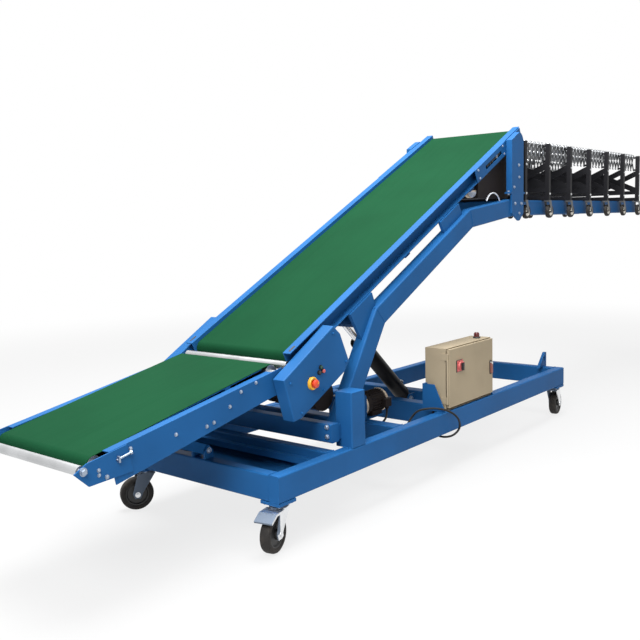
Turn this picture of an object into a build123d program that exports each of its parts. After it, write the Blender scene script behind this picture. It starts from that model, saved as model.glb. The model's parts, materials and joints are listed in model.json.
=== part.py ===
from build123d import *
import os
from math import atan2, cos, degrees, hypot, radians, sin, tan

# Mobile telescopic conveyor, millimetres, +Z up, +X up the incline, Y across.
# Drawing frame: X = 0 at the tail face of the base frame, Y = 0 the centre plane,
# Z = 0 the floor. The finished pieces are shifted along X to the middle of the machine.

# Belt conveyors: sides, bed, belt loop and drums
INCLINE_DEG = 26.7
HEAD_DRUM_X = 2596
HEAD_DRUM_Z = 1927
INCLINE_TAIL_X = 333
INFEED_DEG = 11.2
INFEED_HEAD_X = 192
INFEED_HEAD_Z = 739
INFEED_TAIL_X = -758
BELT_WIDTH = 600
BELT_T = 3
DRUM_R = 35
DRUM_SHAFT_R = 12
BED_T = 3
FIT = 0.3
RUN_GAP = 5
PLATE = 10

# Incline sides: channels open to the outside
SIDE_ROOM = 50
INCLINE_HALF = BELT_WIDTH / 2 + SIDE_ROOM
WEB_T = 5
WEB_OUT = BELT_WIDTH / 2 + RUN_GAP + WEB_T
WEB_LOW = -98
WEB_HIGH = 16
LEDGE_HIGH = -61
FLANGE_T = 5
TENSION_X = (2000, 2398)
TENSION_WINDOW_X = (2120, 2330)
TENSION_WINDOW_N = (-40, -16)

# Infeed sides: deep plates with a tapering upper edge
INFEED_HALF = INCLINE_HALF - RUN_GAP - 1
INFEED_WEB_IN = INFEED_HALF - WEB_T
INFEED_LOW = -129
INFEED_TAIL_TOP = 4
INFEED_HEAD_TOP = -21
TIE_N = (-106, -98)

# Boom of bent tube
BOOM_SEAT = 35
BOOM_OUTER = INCLINE_HALF + BOOM_SEAT
BOOM_TUBE_W = 70
BOOM_TUBE_H = 110
BOOM_FOOT_Z = 372
BOOM_LEG_DEG = 56.7
ELBOW_X = 940
BEND_X = 1895
NOSE_X = 2440
BOOM_DROP = 194
LIFT_TUBE_DROP = 35
ELBOW_GUSSET = (180, 30)
BEND_GUSSET = (290, 60)

# Base frame of rectangular tube, as wide as the boom between its columns
COLUMN_GAP = 15
COLUMN_W = 100
BASE_LENGTH = 3000
BASE_WIDTH = 2 * (BOOM_OUTER + COLUMN_GAP + COLUMN_W)
TUBE = 60
TUBE_DEPTH = 120
TUBE_EDGE = 8
FRAME_UNDER = 220
RAIL_TOP = FRAME_UNDER + TUBE_DEPTH
PAN_T = 8
PAN_BEAM_X = 400
LEDGE_DROP = 40

# Corner castors
CASTOR_GAP = 15
CASTOR_HEIGHT = FRAME_UNDER - CASTOR_GAP
CASTOR_WHEEL_D = 165
CASTOR_WHEEL_W = 50
CASTOR_TRAIL = 55
CASTOR_AXLE_R = 8
CASTOR_INSET = 55
CASTOR_PLATE = 110
CASTOR_CHEEK = 5
CASTOR_SIDE_GAP = 6
CASTOR_CROWN_R = 36
CASTOR_CROWN_T = 18

# Pivot columns and the tie before them
COLUMN_X = 520
COLUMN_LENGTH = 110
COLUMN_TOP = RAIL_TOP + 265
PIVOT_X = 600
PIVOT_Z = RAIL_TOP + 80
PIVOT_R = 22
TIE_X = (COLUMN_X - 80, COLUMN_X - 20)
TIE_Z = (RAIL_TOP + 33, RAIL_TOP + 122)

# Platform beams that carry the telescopic roller unit
PLATFORM_TOP = 1513
PLATFORM_DEPTH = 100
PLATFORM_BEAM_W = 80
PLATFORM_OUTER = BOOM_OUTER - 85
PLATFORM_END_X = 5080
HEAD_BEAM_X = 2475
HEAD_BEAM_W = 100

# Chain cases at the fold, fold roller and infeed hinge
CASE_T = 66
CASE_EDGE = 6
FOLD_ROLLER_X = 266
FOLD_ROLLER_Z = 761
FOLD_ROLLER_HALF = INCLINE_HALF - 15
ROLLER_R = 19
ROLLER_SHAFT_R = 8
INFEED_HINGE_X = 217
INFEED_HINGE_Z = 683
INFEED_HINGE_R = 15
NOSE_PLATE_T = 6
NOSE_ROLLER_X = -842
NOSE_ROLLER_Z = 556
NOSE_TIP_X = -880

# Prop that holds the infeed up from the tail beam
PROP_FOOT_X = 30
PROP_FOOT_Z = RAIL_TOP + 38
PROP_HEAD_X = -330
PROP_HEAD_Z = 536
PROP_WIDTH = 70
PROP_DEPTH = 46
PROP_PIN_R = 12
PROP_SLACK = 7

# Lift cylinder
CYL_FOOT_X = 1735
CYL_FOOT_Z = 300
CYL_HEAD_X = 1000
CYL_HEAD_Z = 951
CYL_R = 45
CYL_LENGTH = 640
CYL_ROD_R = 22
CYL_ROD_START = 260
CYL_PIN_R = 16
CYL_EYE_W = 56
CYL_SLACK = 9
CYL_BEAM_X = 1790

# Head posts and the drive box between them
POST_X = 2400
POST_WIDTH = 168
POST_TOP = HEAD_DRUM_Z + 18
POST_FOOT = PLATFORM_TOP - PLATFORM_DEPTH - 42
POST_POINT = 55
POST_T = 12
POST_DEPTH = 40
POST_ROUND = 70
POST_TIP_R = 30
POST_JOINT_Z = PLATFORM_TOP + 43
POST_JOINT_OUT = 22
HEAD_DRIVE_X = (2110, 2516)
HEAD_DRIVE_LOW = PLATFORM_TOP + 10

# Telescopic roller unit, stored closed
LEG_COUNT = 7
LEG_FIRST_X = 2705
CELLS_PER_SPAN = 6
CELL_PITCH = 63.5
TELE_RISE = 392
TELE_ROLLER_Z = PLATFORM_TOP + TELE_RISE
LEG_POST = 30
LEG_POST_INNER = PLATFORM_OUTER + 22
LEG_TOP = TELE_ROLLER_Z
LEG_RAIL_Z = PLATFORM_TOP + 59
LATTICE_HEIGHT = 120
LATTICE_IN = LEG_POST_INNER - 26
LINK_W = 22
LINK_T = 3
SMALL_WHEEL_D = 95
SMALL_WHEEL_W = 28
SMALL_CASTOR_H = 125
SMALL_TRAIL = 28
SMALL_AXLE_R = 5
SMALL_CHEEK = 3

# Control box on the near rail
BOX_X = 1412
BOX_LENGTH = 525
BOX_HEIGHT = 350
BOX_FRONT = BASE_WIDTH / 2
BOX_DEPTH = 150
BOX_WALL = 4
DOOR_T = 18
DOOR_MARGIN = 18
DOOR_HINGE_R = 5
BRACKET_T = 6
BRACKET_HEIGHT = 150
BRACKET_GAP = 28
SWITCH_X = BOX_X + 120
SWITCH_RISE = 240
LAMP_X = BOX_X + 450
LAMP_SETBACK = 70

# Hydraulic power pack between the rails
PACK_Y = -170
PACK_X = 1025
PACK_PLATE_T = 6
PACK_PLATE_HALF = 60
PUMP_MOTOR_R = 58
PUMP_MOTOR_LENGTH = 185
PUMP_MOTOR_LIFT = 66
SADDLE_X = (50, 140)
SADDLE_HALF = 50
SADDLE_DROP = 40
PUMP_FLANGE_T = 15
PUMP_BLOCK_T = 25
TERMINAL_X = (1150, 1205)
TERMINAL_Y = (-258, -215)
TERMINAL_HEIGHT = 45
TANK_LENGTH = 125
TANK_WIDTH = 160
TANK_HEIGHT = 140

# Belt drive on the near chain case
DRIVE_X = 500
DRIVE_Z = 582
DRIVE_MOTOR_R = 62
DRIVE_MOTOR_LENGTH = 210

# Towing lug on the head beam
LUG_X = BASE_LENGTH - 30
LUG_Y = -(BASE_WIDTH / 2 - 140)
LUG_BORE_R = 16
LUG_RISE = 58
LUG_HEIGHT = 100
LUG_FOOT = 90
LUG_T = 20

# Control cable from the box round the near rail to the pump motor
CABLE_R = 6
CABLE_ROUTE = [
    (1455, -372, 330), (1455, -372, 286), (1432, -380, 238), (1400, -410, 202),
    (1402, -464, 190), (1434, -512, 198), (1462, -542, 240), (1440, -548, 296),
    (1396, -538, 338), (1352, -500, 366), (1312, -440, 372), (1280, -376, 358),
    (1256, -345, 308), (1215, -336, 258), (1150, -330, 222), (1085, -318, 236),
    (1058, -296, 266), (1062, -268, 292), (1098, -252, 300), (1142, -246, 306),
    (1180, -243, 328), (1180, -243, 373),
]
GLAND_R = 11
GLAND_LENGTH = 12

# Worked-out places
BELT_R = DRUM_R + BELT_T
X_MID = (NOSE_TIP_X + PLATFORM_END_X) / 2
SIDES = {"left": 1, "right": -1}


def block(x, y, z):
    """Box from its (low, high) limits along X, Y and Z."""
    middle = Pos((x[0] + x[1]) / 2, (y[0] + y[1]) / 2, (z[0] + z[1]) / 2)
    return middle * Box(x[1] - x[0], y[1] - y[0], z[1] - z[0])


def tube_block(x, y, z, along):
    """Rolled square tube: a box with its four long edges rounded."""
    bar = block(x, y, z)
    return fillet(bar.edges().filter_by(along), TUBE_EDGE)


def bar_y(x, z, radius, y):
    """Round bar along Y between two Y limits."""
    return Pos(x, (y[0] + y[1]) / 2, z) * Rot(90, 0, 0) * Cylinder(radius, y[1] - y[0])


def bar_z(x, y, radius, z):
    """Round bar along Z between two Z limits."""
    return Pos(x, y, (z[0] + z[1]) / 2) * Cylinder(radius, z[1] - z[0])


def bar_x(y, z, radius, x):
    """Round bar along X between two X limits."""
    return Pos((x[0] + x[1]) / 2, y, z) * Rot(0, 90, 0) * Cylinder(radius, x[1] - x[0])


def plate(outline, y):
    """Flat plate of an (x, z) outline between two Y limits."""
    face = make_face(Polyline(*[(px, y[0], pz) for px, pz in outline], close=True))
    return extrude(face, amount=y[1] - y[0], dir=(0, 1, 0))


def span(side, inner, outer):
    """Y limits of a piece between two distances from the centre plane on one side."""
    return (inner, outer) if side > 0 else (-outer, -inner)


def gather(*shapes):
    """One node of several shapes, solid by solid."""
    return Compound(children=[solid for shape in shapes for solid in shape.solids()])


def both(make):
    """The same piece made on the left and on the right side."""
    return gather(*[make(side) for side in SIDES.values()])


class Run:
    """A conveyor's own axes: s along the slope from the tail drum, n up from the belt's face."""

    def __init__(self, tail_x, head_x, head_z, slope):
        self.slope = slope
        self.u = (cos(radians(slope)), sin(radians(slope)))
        self.n = (-self.u[1], self.u[0])
        self.length = (head_x - tail_x) / self.u[0]
        self.tail = (tail_x, head_z - self.length * self.u[1])

    def at(self, s, n):
        """Drawing (x, z) of a place on the run; n = 0 is the belt's top face."""
        rise = n + BELT_R
        return (
            self.tail[0] + s * self.u[0] + rise * self.n[0],
            self.tail[1] + s * self.u[1] + rise * self.n[1],
        )

    def at_x(self, x, n):
        """Drawing (x, z) where a line at height n over the belt's face passes x."""
        start = self.at(0, n)
        return (x, start[1] + (x - start[0]) * tan(radians(self.slope)))

    def s_of(self, x, n):
        """Place along the run of the point at x on the line at height n."""
        return (x - self.at(0, n)[0]) / self.u[0]

    def slab(self, s, n, y):
        """Flat bar lying along the run."""
        corners = [(s[0], n[0]), (s[1], n[0]), (s[1], n[1]), (s[0], n[1])]
        return plate([self.at(*corner) for corner in corners], y)

    def loop(self, radius):
        """Outline of a loop round both drums, filled."""
        middle = self.at(self.length / 2, -BELT_R)
        at = Plane((middle[0], 0, middle[1]), (self.u[0], 0, self.u[1]), (0, -1, 0))
        return at * SlotCenterToCenter(self.length, 2 * radius)


incline = Run(INCLINE_TAIL_X, HEAD_DRUM_X, HEAD_DRUM_Z, INCLINE_DEG)
infeed = Run(INFEED_TAIL_X, INFEED_HEAD_X, INFEED_HEAD_Z, INFEED_DEG)


# Boom outline

def boom_line():
    """Middle line of a boom tube from its foot over elbow, bend and nose to the head beam."""
    elbow = incline.at_x(ELBOW_X, -BOOM_DROP)
    foot_x = ELBOW_X - (elbow[1] - BOOM_FOOT_Z) / tan(radians(BOOM_LEG_DEG))
    level = PLATFORM_TOP - PLATFORM_DEPTH / 2
    return [
        (foot_x, BOOM_FOOT_Z),
        elbow,
        incline.at_x(BEND_X, -BOOM_DROP),
        (NOSE_X, level),
        (HEAD_BEAM_X + HEAD_BEAM_W, level),
    ]


def offset_line(line, distance):
    """Line at a distance to the left of a bent line, with mitred corners."""
    headings = [atan2(b[1] - a[1], b[0] - a[0]) for a, b in zip(line, line[1:])]
    out = []
    for i, (x, z) in enumerate(line):
        before = headings[max(i - 1, 0)]
        after = headings[min(i, len(headings) - 1)]
        middle = (before + after) / 2
        reach = distance / cos((after - before) / 2)
        out.append((x - reach * sin(middle), z + reach * cos(middle)))
    return out


BOOM_LINE = boom_line()
BOOM_UPPER = offset_line(BOOM_LINE, BOOM_TUBE_H / 2)
BOOM_LOWER = offset_line(BOOM_LINE, -BOOM_TUBE_H / 2)


def on_line(a, b, distance):
    """Point at a distance from a towards b."""
    share = distance / hypot(b[0] - a[0], b[1] - a[1])
    return (a[0] + (b[0] - a[0]) * share, a[1] + (b[1] - a[1]) * share)


# Base

def base_side_rails():
    half = BASE_WIDTH / 2
    return both(lambda side: tube_block(
        (0, BASE_LENGTH), span(side, half - TUBE, half), (FRAME_UNDER, RAIL_TOP), Axis.X))


CROSS_BEAMS = [  # low X, width along X
    (0, TUBE),
    (PAN_BEAM_X, TUBE),
    (960, 80),
    (1500, 80),
    (CYL_BEAM_X, 80),
    (BASE_LENGTH - TUBE, TUBE),
]


def base_cross_beams():
    """Cross tubes between the side rails, the tail bay's floor and the plate under the power pack."""
    reach = BASE_WIDTH / 2 - TUBE
    beams = [
        tube_block((x, x + width), (-reach, reach), (FRAME_UNDER, RAIL_TOP), Axis.Y)
        for x, width in CROSS_BEAMS]
    pan = block((TUBE, PAN_BEAM_X), (-reach, reach), (FRAME_UNDER, FRAME_UNDER + PAN_T))
    ledge_top = RAIL_TOP - LEDGE_DROP
    ledge = block((PAN_BEAM_X - 30, PAN_BEAM_X), (-reach, reach), (ledge_top - 30, ledge_top))
    return gather(*beams, pan, ledge, pack_plate())


def pivot_columns():
    half = BASE_WIDTH / 2

    def column(side):
        post = tube_block((COLUMN_X, COLUMN_X + COLUMN_LENGTH), span(side, half - COLUMN_W, half),
                          (RAIL_TOP, COLUMN_TOP), Axis.Z)
        bore = bar_y(PIVOT_X, PIVOT_Z, PIVOT_R + FIT, span(side, half - COLUMN_W - 1, half - COLUMN_W * 0.4))
        return post - bore

    return both(column)


def front_tie():
    """Tube across the columns' tail faces, on a spacer at each end."""
    half = BASE_WIDTH / 2
    tie = tube_block(TIE_X, (-half + TUBE, half - TUBE), TIE_Z, Axis.Y)
    for side in SIDES.values():
        tie += block((TIE_X[1], COLUMN_X), span(side, half - COLUMN_W + 4, half - TUBE - 4),
                     (TIE_Z[0] + 8, TIE_Z[1] - 8))
    return tie


def tow_lug():
    """Upright gusset on the head beam with a bore for a towing pin."""
    end = LUG_X + 30
    top = RAIL_TOP + LUG_HEIGHT
    lug = plate([(LUG_X - LUG_FOOT, RAIL_TOP), (end, RAIL_TOP), (end, top), (end - 22, top)],
                (LUG_Y - LUG_T / 2, LUG_Y + LUG_T / 2))
    return lug - bar_y(LUG_X, RAIL_TOP + LUG_RISE, LUG_BORE_R, (LUG_Y - LUG_T, LUG_Y + LUG_T))


def prop_lugs():
    """Pair of ears on the tail beam that hold the prop's foot pin."""
    inner = PROP_WIDTH / 2 + FIT * 2
    ear = 26

    def make(side):
        outline = [(PROP_FOOT_X - ear, RAIL_TOP), (PROP_FOOT_X + ear, RAIL_TOP),
                   (PROP_FOOT_X + ear, PROP_FOOT_Z), (PROP_FOOT_X, PROP_FOOT_Z + ear),
                   (PROP_FOOT_X - ear, PROP_FOOT_Z)]
        return plate(outline, span(side, inner, inner + PLATE))

    pin = bar_y(PROP_FOOT_X, PROP_FOOT_Z, PROP_PIN_R, (-inner - PLATE, inner + PLATE))
    return make(1) + make(-1) + pin


def cylinder_lugs():
    """Pair of ears on the cylinder beam with the lower pin."""
    inner = CYL_EYE_W / 2 + FIT * 2
    ear = 30

    def make(side):
        flag = block((CYL_FOOT_X, CYL_BEAM_X), span(side, inner, inner + PLATE),
                     (CYL_FOOT_Z - ear, CYL_FOOT_Z + ear))
        return flag + bar_y(CYL_FOOT_X, CYL_FOOT_Z, ear, span(side, inner, inner + PLATE))

    pin = bar_y(CYL_FOOT_X, CYL_FOOT_Z, CYL_PIN_R, (-inner - PLATE, inner + PLATE))
    return make(1) + make(-1) + pin


def base_fittings():
    """What is welded or bolted to the base: tie, lugs, castor plates and the box's bracket."""
    return gather(front_tie(), tow_lug(), prop_lugs(), cylinder_lugs(), castor_plates(), box_bracket())


# Castors

CASTORS = [  # name, at the head end, side, direction of trail in degrees from +X, brake pedal
    ("tail_right", False, -1, 193, True),
    ("tail_left", False, 1, 150, False),
    ("head_right", True, -1, 8, False),
    ("head_left", True, 1, -5, True),
]


def castor_place(at_head, side):
    """Drawing (x, y) of a castor's swivel."""
    x = BASE_LENGTH - CASTOR_INSET if at_head else CASTOR_INSET
    return x, side * (BASE_WIDTH / 2 - CASTOR_INSET)


def castor_plates():
    half = CASTOR_PLATE / 2
    pads = []
    for name, at_head, side, trail, brake in CASTORS:
        x, y = castor_place(at_head, side)
        pads.append(block((x - half, x + half), (y - half, y + half), (CASTOR_HEIGHT, FRAME_UNDER)))
    return gather(*pads)


def castor_fork(trail, brake):
    """Swivel crown, two cheeks and axle, trailing along +X before it is turned."""
    axle_z = CASTOR_WHEEL_D / 2
    crown_top = CASTOR_HEIGHT - FIT
    crown_low = crown_top - CASTOR_CROWN_T
    inner = CASTOR_WHEEL_W / 2 + CASTOR_SIDE_GAP
    fork = bar_z(0, 0, CASTOR_CROWN_R, (crown_low, crown_top))
    fork += block((-CASTOR_CROWN_R, CASTOR_CROWN_R), (-inner - CASTOR_CHEEK, inner + CASTOR_CHEEK),
                  (crown_low - CASTOR_CHEEK, crown_low))
    cheek = [(-CASTOR_CROWN_R, crown_low), (CASTOR_CROWN_R + 14, crown_low), (trail + 24, axle_z + 6),
             (trail + 14, axle_z - 20), (trail - 14, axle_z - 20), (trail - 28, axle_z + 10)]
    for side in SIDES.values():
        fork += plate(cheek, span(side, inner, inner + CASTOR_CHEEK))
    fork += bar_y(trail, axle_z, CASTOR_AXLE_R, (-inner - CASTOR_CHEEK - 8, inner + CASTOR_CHEEK + 8))
    if brake:
        fork += brake_pedal(trail, crown_low, inner + CASTOR_CHEEK)
    return fork


def brake_pedal(trail, top, cheek):
    """Hood over the trailing side of the wheel that is trodden down as a brake."""
    start = CASTOR_CROWN_R - 10
    outline = [(start, top), (trail + 38, top), (trail + 84, top - 26), (trail + 80, top - 34),
               (trail + 34, top - 10), (start, top - 10)]
    return plate(outline, (-cheek - 8, cheek + 8))


def castor_wheel():
    """Solid tyre on a hub with a bore, standing on the floor below the origin's X, Y."""
    axle_z = CASTOR_WHEEL_D / 2
    half = CASTOR_WHEEL_W / 2
    hub_half = half + CASTOR_SIDE_GAP - 1
    tyre = bar_y(0, axle_z, axle_z, (-half, half))
    tyre = chamfer(tyre.edges().filter_by(GeomType.CIRCLE), half * 0.4)
    dish = CASTOR_WHEEL_D * 0.36
    for side in SIDES.values():
        tyre -= bar_y(0, axle_z, dish, span(side, half - 9, half + 1))
    hub = bar_y(0, axle_z, CASTOR_AXLE_R + 14, (-hub_half, hub_half))
    bore = bar_y(0, axle_z, CASTOR_AXLE_R + FIT, (-hub_half - 1, hub_half + 1))
    return tyre + hub - bore


# Boom

def boom_tubes():
    outline = BOOM_UPPER + BOOM_LOWER[::-1]

    def tube(side):
        bar = plate(outline, span(side, BOOM_OUTER - BOOM_TUBE_W, BOOM_OUTER))
        skin = [e for e in bar.edges() if abs(e.tangent_at(0.5).Y) < 0.5]
        ends = (BOOM_LINE[0], BOOM_LINE[-1])
        long = [e for e in skin
                if all(hypot(e.center().X - x, e.center().Z - z) > 1 for x, z in ends)]
        bar = fillet(long, TUBE_EDGE)
        boss = bar_y(PIVOT_X, PIVOT_Z, PIVOT_R * 2, span(side, BOOM_OUTER - BOOM_TUBE_W, BOOM_OUTER))
        stub = bar_y(PIVOT_X, PIVOT_Z, PIVOT_R, span(side, BOOM_OUTER - BOOM_TUBE_W,
                                                     BASE_WIDTH / 2 - COLUMN_W * 0.5))
        return bar + boss + stub

    return both(tube)


def boom_cross_tubes():
    """Pivot tube at the feet, lift tube with ears at the elbow, and the head beam."""
    reach = BOOM_OUTER - BOOM_TUBE_W
    pivot = bar_y(PIVOT_X, PIVOT_Z, PIVOT_R * 1.6, (-reach, reach))
    elbow = on_line(BOOM_LINE[1], BOOM_LINE[0], LIFT_TUBE_DROP)
    tube_r = 38
    lift = bar_y(elbow[0], elbow[1], tube_r, (-reach, reach))
    inner = CYL_EYE_W / 2 + RUN_GAP
    ear = 28
    for side in SIDES.values():
        y = span(side, inner, inner + PLATE)
        lift += plate([(elbow[0], elbow[1] - ear), (CYL_HEAD_X, CYL_HEAD_Z - ear),
                       (CYL_HEAD_X, CYL_HEAD_Z + ear), (elbow[0], elbow[1] + ear)], y)
        lift += bar_y(CYL_HEAD_X, CYL_HEAD_Z, ear, y)
    lift += bar_y(CYL_HEAD_X, CYL_HEAD_Z, CYL_PIN_R, (-inner - PLATE, inner + PLATE))
    beam = tube_block((HEAD_BEAM_X, HEAD_BEAM_X + HEAD_BEAM_W), (-reach, reach),
                      (PLATFORM_TOP - PLATFORM_DEPTH, PLATFORM_TOP), Axis.Y)
    return gather(pivot, lift, beam)


def boom_gussets():
    """Plates that carry the incline conveyor on the boom at the elbow and at the bend."""
    middle = BOOM_OUTER - BOOM_TUBE_W / 2
    elbow = BOOM_UPPER[1]
    seat = LEDGE_HIGH - FLANGE_T
    on_leg = on_line(elbow, BOOM_UPPER[0], ELBOW_GUSSET[0])
    on_arm = on_line(elbow, BOOM_UPPER[2], ELBOW_GUSSET[1])
    low = incline.at_x(on_leg[0] - 90, seat)
    high = incline.at_x(on_arm[0] - 30, seat)
    bend = BOOM_UPPER[2]
    foot_a = on_line(bend, elbow, BEND_GUSSET[0])
    foot_b = on_line(bend, elbow, BEND_GUSSET[1])
    top_a = incline.at_x(foot_a[0] - 40, seat)
    top_b = incline.at_x(foot_b[0] - 40, seat)

    def pair(side):
        y = span(side, middle - PLATE, middle + PLATE)
        return [plate([low, on_leg, elbow, on_arm, high], y),
                plate([top_a, foot_a, foot_b, top_b], y)]

    return gather(*pair(1), *pair(-1))


def boom_cross_members():
    return gather(boom_cross_tubes(), boom_gussets())


def platform_beams():
    """Two beams ahead of the head beam, tied at the middle and at the end."""
    z = (PLATFORM_TOP - PLATFORM_DEPTH, PLATFORM_TOP)
    inner = PLATFORM_OUTER - PLATFORM_BEAM_W
    start = HEAD_BEAM_X + HEAD_BEAM_W

    def beam(side):
        return tube_block((start, PLATFORM_END_X), span(side, inner, PLATFORM_OUTER), z, Axis.X)

    tie_z = (z[0] + 20, z[1] - 20)
    ties = [tube_block((x, x + 60), (-inner, inner), tie_z, Axis.Y)
            for x in ((start + PLATFORM_END_X) / 2 - 30, PLATFORM_END_X - 70)]
    return gather(beam(1), beam(-1), *ties)


def head_posts():
    """Upright boxes that carry the head drum, each bolted to a pointed plate on the boom's nose."""
    end = POST_X + POST_WIDTH
    outer = BOOM_OUTER + POST_T
    shoulder = POST_FOOT + POST_POINT

    def post(side):
        tip_x = (POST_X + end) / 2 + 20
        foot = plate([(POST_X, shoulder), (tip_x, POST_FOOT), (end, shoulder),
                      (end, POST_JOINT_Z), (POST_X, POST_JOINT_Z)], span(side, BOOM_OUTER, outer))
        tip = [e for e in foot.edges().filter_by(Axis.Y) if e.center().Z < POST_FOOT + 1]
        foot = fillet(tip, POST_TIP_R)
        upper = block((POST_X, end), span(side, outer - POST_DEPTH, outer), (POST_JOINT_Z, POST_TOP))
        crown = [e for e in upper.edges().filter_by(Axis.Y) if e.center().X > end - 1 and e.center().Z > POST_TOP - 1]
        upper = fillet(crown, POST_ROUND)
        upper -= incline.slab((incline.s_of(POST_X, 0) - POST_WIDTH, incline.length + POST_WIDTH),
                              (WEB_HIGH, WEB_HIGH + POST_WIDTH), span(side, outer - POST_DEPTH - 1, outer + 1))
        joint = block((POST_X - POST_JOINT_OUT, end + POST_JOINT_OUT), span(side, outer - POST_DEPTH, outer),
                      (POST_JOINT_Z - 6, POST_JOINT_Z + 6))
        pad = incline.slab((incline.s_of(POST_X + 10, 0), incline.length + 20),
                           (LEDGE_HIGH, WEB_HIGH - FLANGE_T), span(side, WEB_OUT, outer - POST_DEPTH))
        return foot + joint + upper + pad

    return both(post)


# Belt conveyors

def run_belt(run):
    """Endless belt round both drums."""
    half = BELT_WIDTH / 2
    outer = extrude(run.loop(BELT_R), amount=half, both=True)
    inner = extrude(run.loop(DRUM_R + FIT), amount=half + 1, both=True)
    return outer - inner


def run_drums(run, reach):
    """Tail and head drum with their shafts seated in the sides."""
    drums = []
    for s in (0, run.length):
        x, z = run.at(s, -BELT_R)
        drum = bar_y(x, z, DRUM_R, (-BELT_WIDTH / 2, BELT_WIDTH / 2))
        drums.append(drum + bar_y(x, z, DRUM_SHAFT_R, (-reach, reach)))
    return gather(*drums)


BED_TOP = -BELT_T - FIT
BED_LOW = BED_TOP - BED_T


def run_bed(run, reach):
    """Slider plate under the carrying side of the belt."""
    return run.slab((DRUM_R + 20, run.length - DRUM_R - 20), (BED_LOW, BED_TOP), (-reach, reach))


INCLINE_S = (-45, incline.length + 30)
INFEED_S = (40, infeed.length + 30)


def incline_sides():
    """Channels open to the outside, with a plate over the belt's tension screws at the head end."""
    def channel(side):
        body = incline.slab(INCLINE_S, (WEB_LOW, WEB_HIGH), span(side, WEB_OUT - WEB_T, WEB_OUT))
        for high in (WEB_HIGH, LEDGE_HIGH):
            body += incline.slab(INCLINE_S, (high - FLANGE_T, high), span(side, WEB_OUT, INCLINE_HALF))
        y = span(side, INCLINE_HALF, INCLINE_HALF + FLANGE_T)
        cover_s = [incline.s_of(x, 0) for x in TENSION_X]
        window_s = [incline.s_of(x, 0) for x in TENSION_WINDOW_X]
        cover = incline.slab(cover_s, (LEDGE_HIGH - FLANGE_T, WEB_HIGH), y)
        return body + (cover - incline.slab(window_s, TENSION_WINDOW_N, y))

    return both(channel)


def incline_bed():
    bars = [incline.slab((incline.length * share - 25, incline.length * share + 25),
                         (WEB_LOW - 8, WEB_LOW), (-WEB_OUT, WEB_OUT)) for share in (0.08, 0.42, 0.74)]
    return gather(run_bed(incline, WEB_OUT - WEB_T), *bars)


CASE_OUTLINE = [  # chain case outline, drawing X and Z
    (148, 719), (507, 920), (558, 878), (624, 735), (586, 690), (263, 528), (210, 522),
]


def chain_cases():
    """Closed cases over the drive chains at the fold, with the infeed's hinge pins."""
    def case(side):
        body = plate(CASE_OUTLINE, span(side, INCLINE_HALF, INCLINE_HALF + CASE_T))
        outer = side * (INCLINE_HALF + CASE_T)
        rim = [e for e in body.edges() if abs(e.center().Y - outer) < 1]
        body = fillet(rim, CASE_EDGE)
        pin = bar_y(INFEED_HINGE_X, INFEED_HINGE_Z, INFEED_HINGE_R,
                    span(side, INFEED_WEB_IN, INCLINE_HALF))
        return body + pin

    return both(case)


CASE_BUTTONS = [  # X, Z, radius, stand-off
    (337, 676, 30, 14),
    (389, 717, 11, 12),
    (401, 740, 11, 12),
    (417, 721, 11, 12),
]


def case_buttons():
    """Stop button and three push buttons on the near chain case."""
    face = INCLINE_HALF + CASE_T
    stop, *small = [bar_y(x, z, r, span(-1, face, face + out)) for x, z, r, out in CASE_BUTTONS]
    x, z, r, out = CASE_BUTTONS[0]
    stop += bar_y(x, z, r * 0.66, span(-1, face + out, face + out + 20))
    return gather(stop, *small)


def fold_roller():
    """Free roller that closes the gap between the two belts."""
    shaft = bar_y(FOLD_ROLLER_X, FOLD_ROLLER_Z, ROLLER_SHAFT_R, (-INCLINE_HALF, INCLINE_HALF))
    half = FOLD_ROLLER_HALF
    return shaft + bar_y(FOLD_ROLLER_X, FOLD_ROLLER_Z, ROLLER_R, (-half, half))


def drive_motor():
    """Gear motor inside the near chain case, and the closed drive box under the head."""
    face = INCLINE_HALF
    flange = bar_y(DRIVE_X, DRIVE_Z, 75, span(-1, face - 16, face))
    gearbox = block((DRIVE_X - 60, DRIVE_X + 60), span(-1, face - 126, face - 16),
                    (DRIVE_Z - 60, DRIVE_Z + 60))
    start = face - 126
    motor = bar_y(DRIVE_X, DRIVE_Z, DRIVE_MOTOR_R, span(-1, start - DRIVE_MOTOR_LENGTH, start))
    ends = HEAD_DRIVE_X
    head = plate([(ends[0], HEAD_DRIVE_LOW), (ends[1], HEAD_DRIVE_LOW), incline.at_x(ends[1], WEB_LOW),
                  incline.at_x(ends[0], WEB_LOW)], (-WEB_OUT, WEB_OUT))
    return gather(flange + fillet(gearbox.edges().filter_by(Axis.Y), 14) + motor, head)


# Infeed

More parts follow.
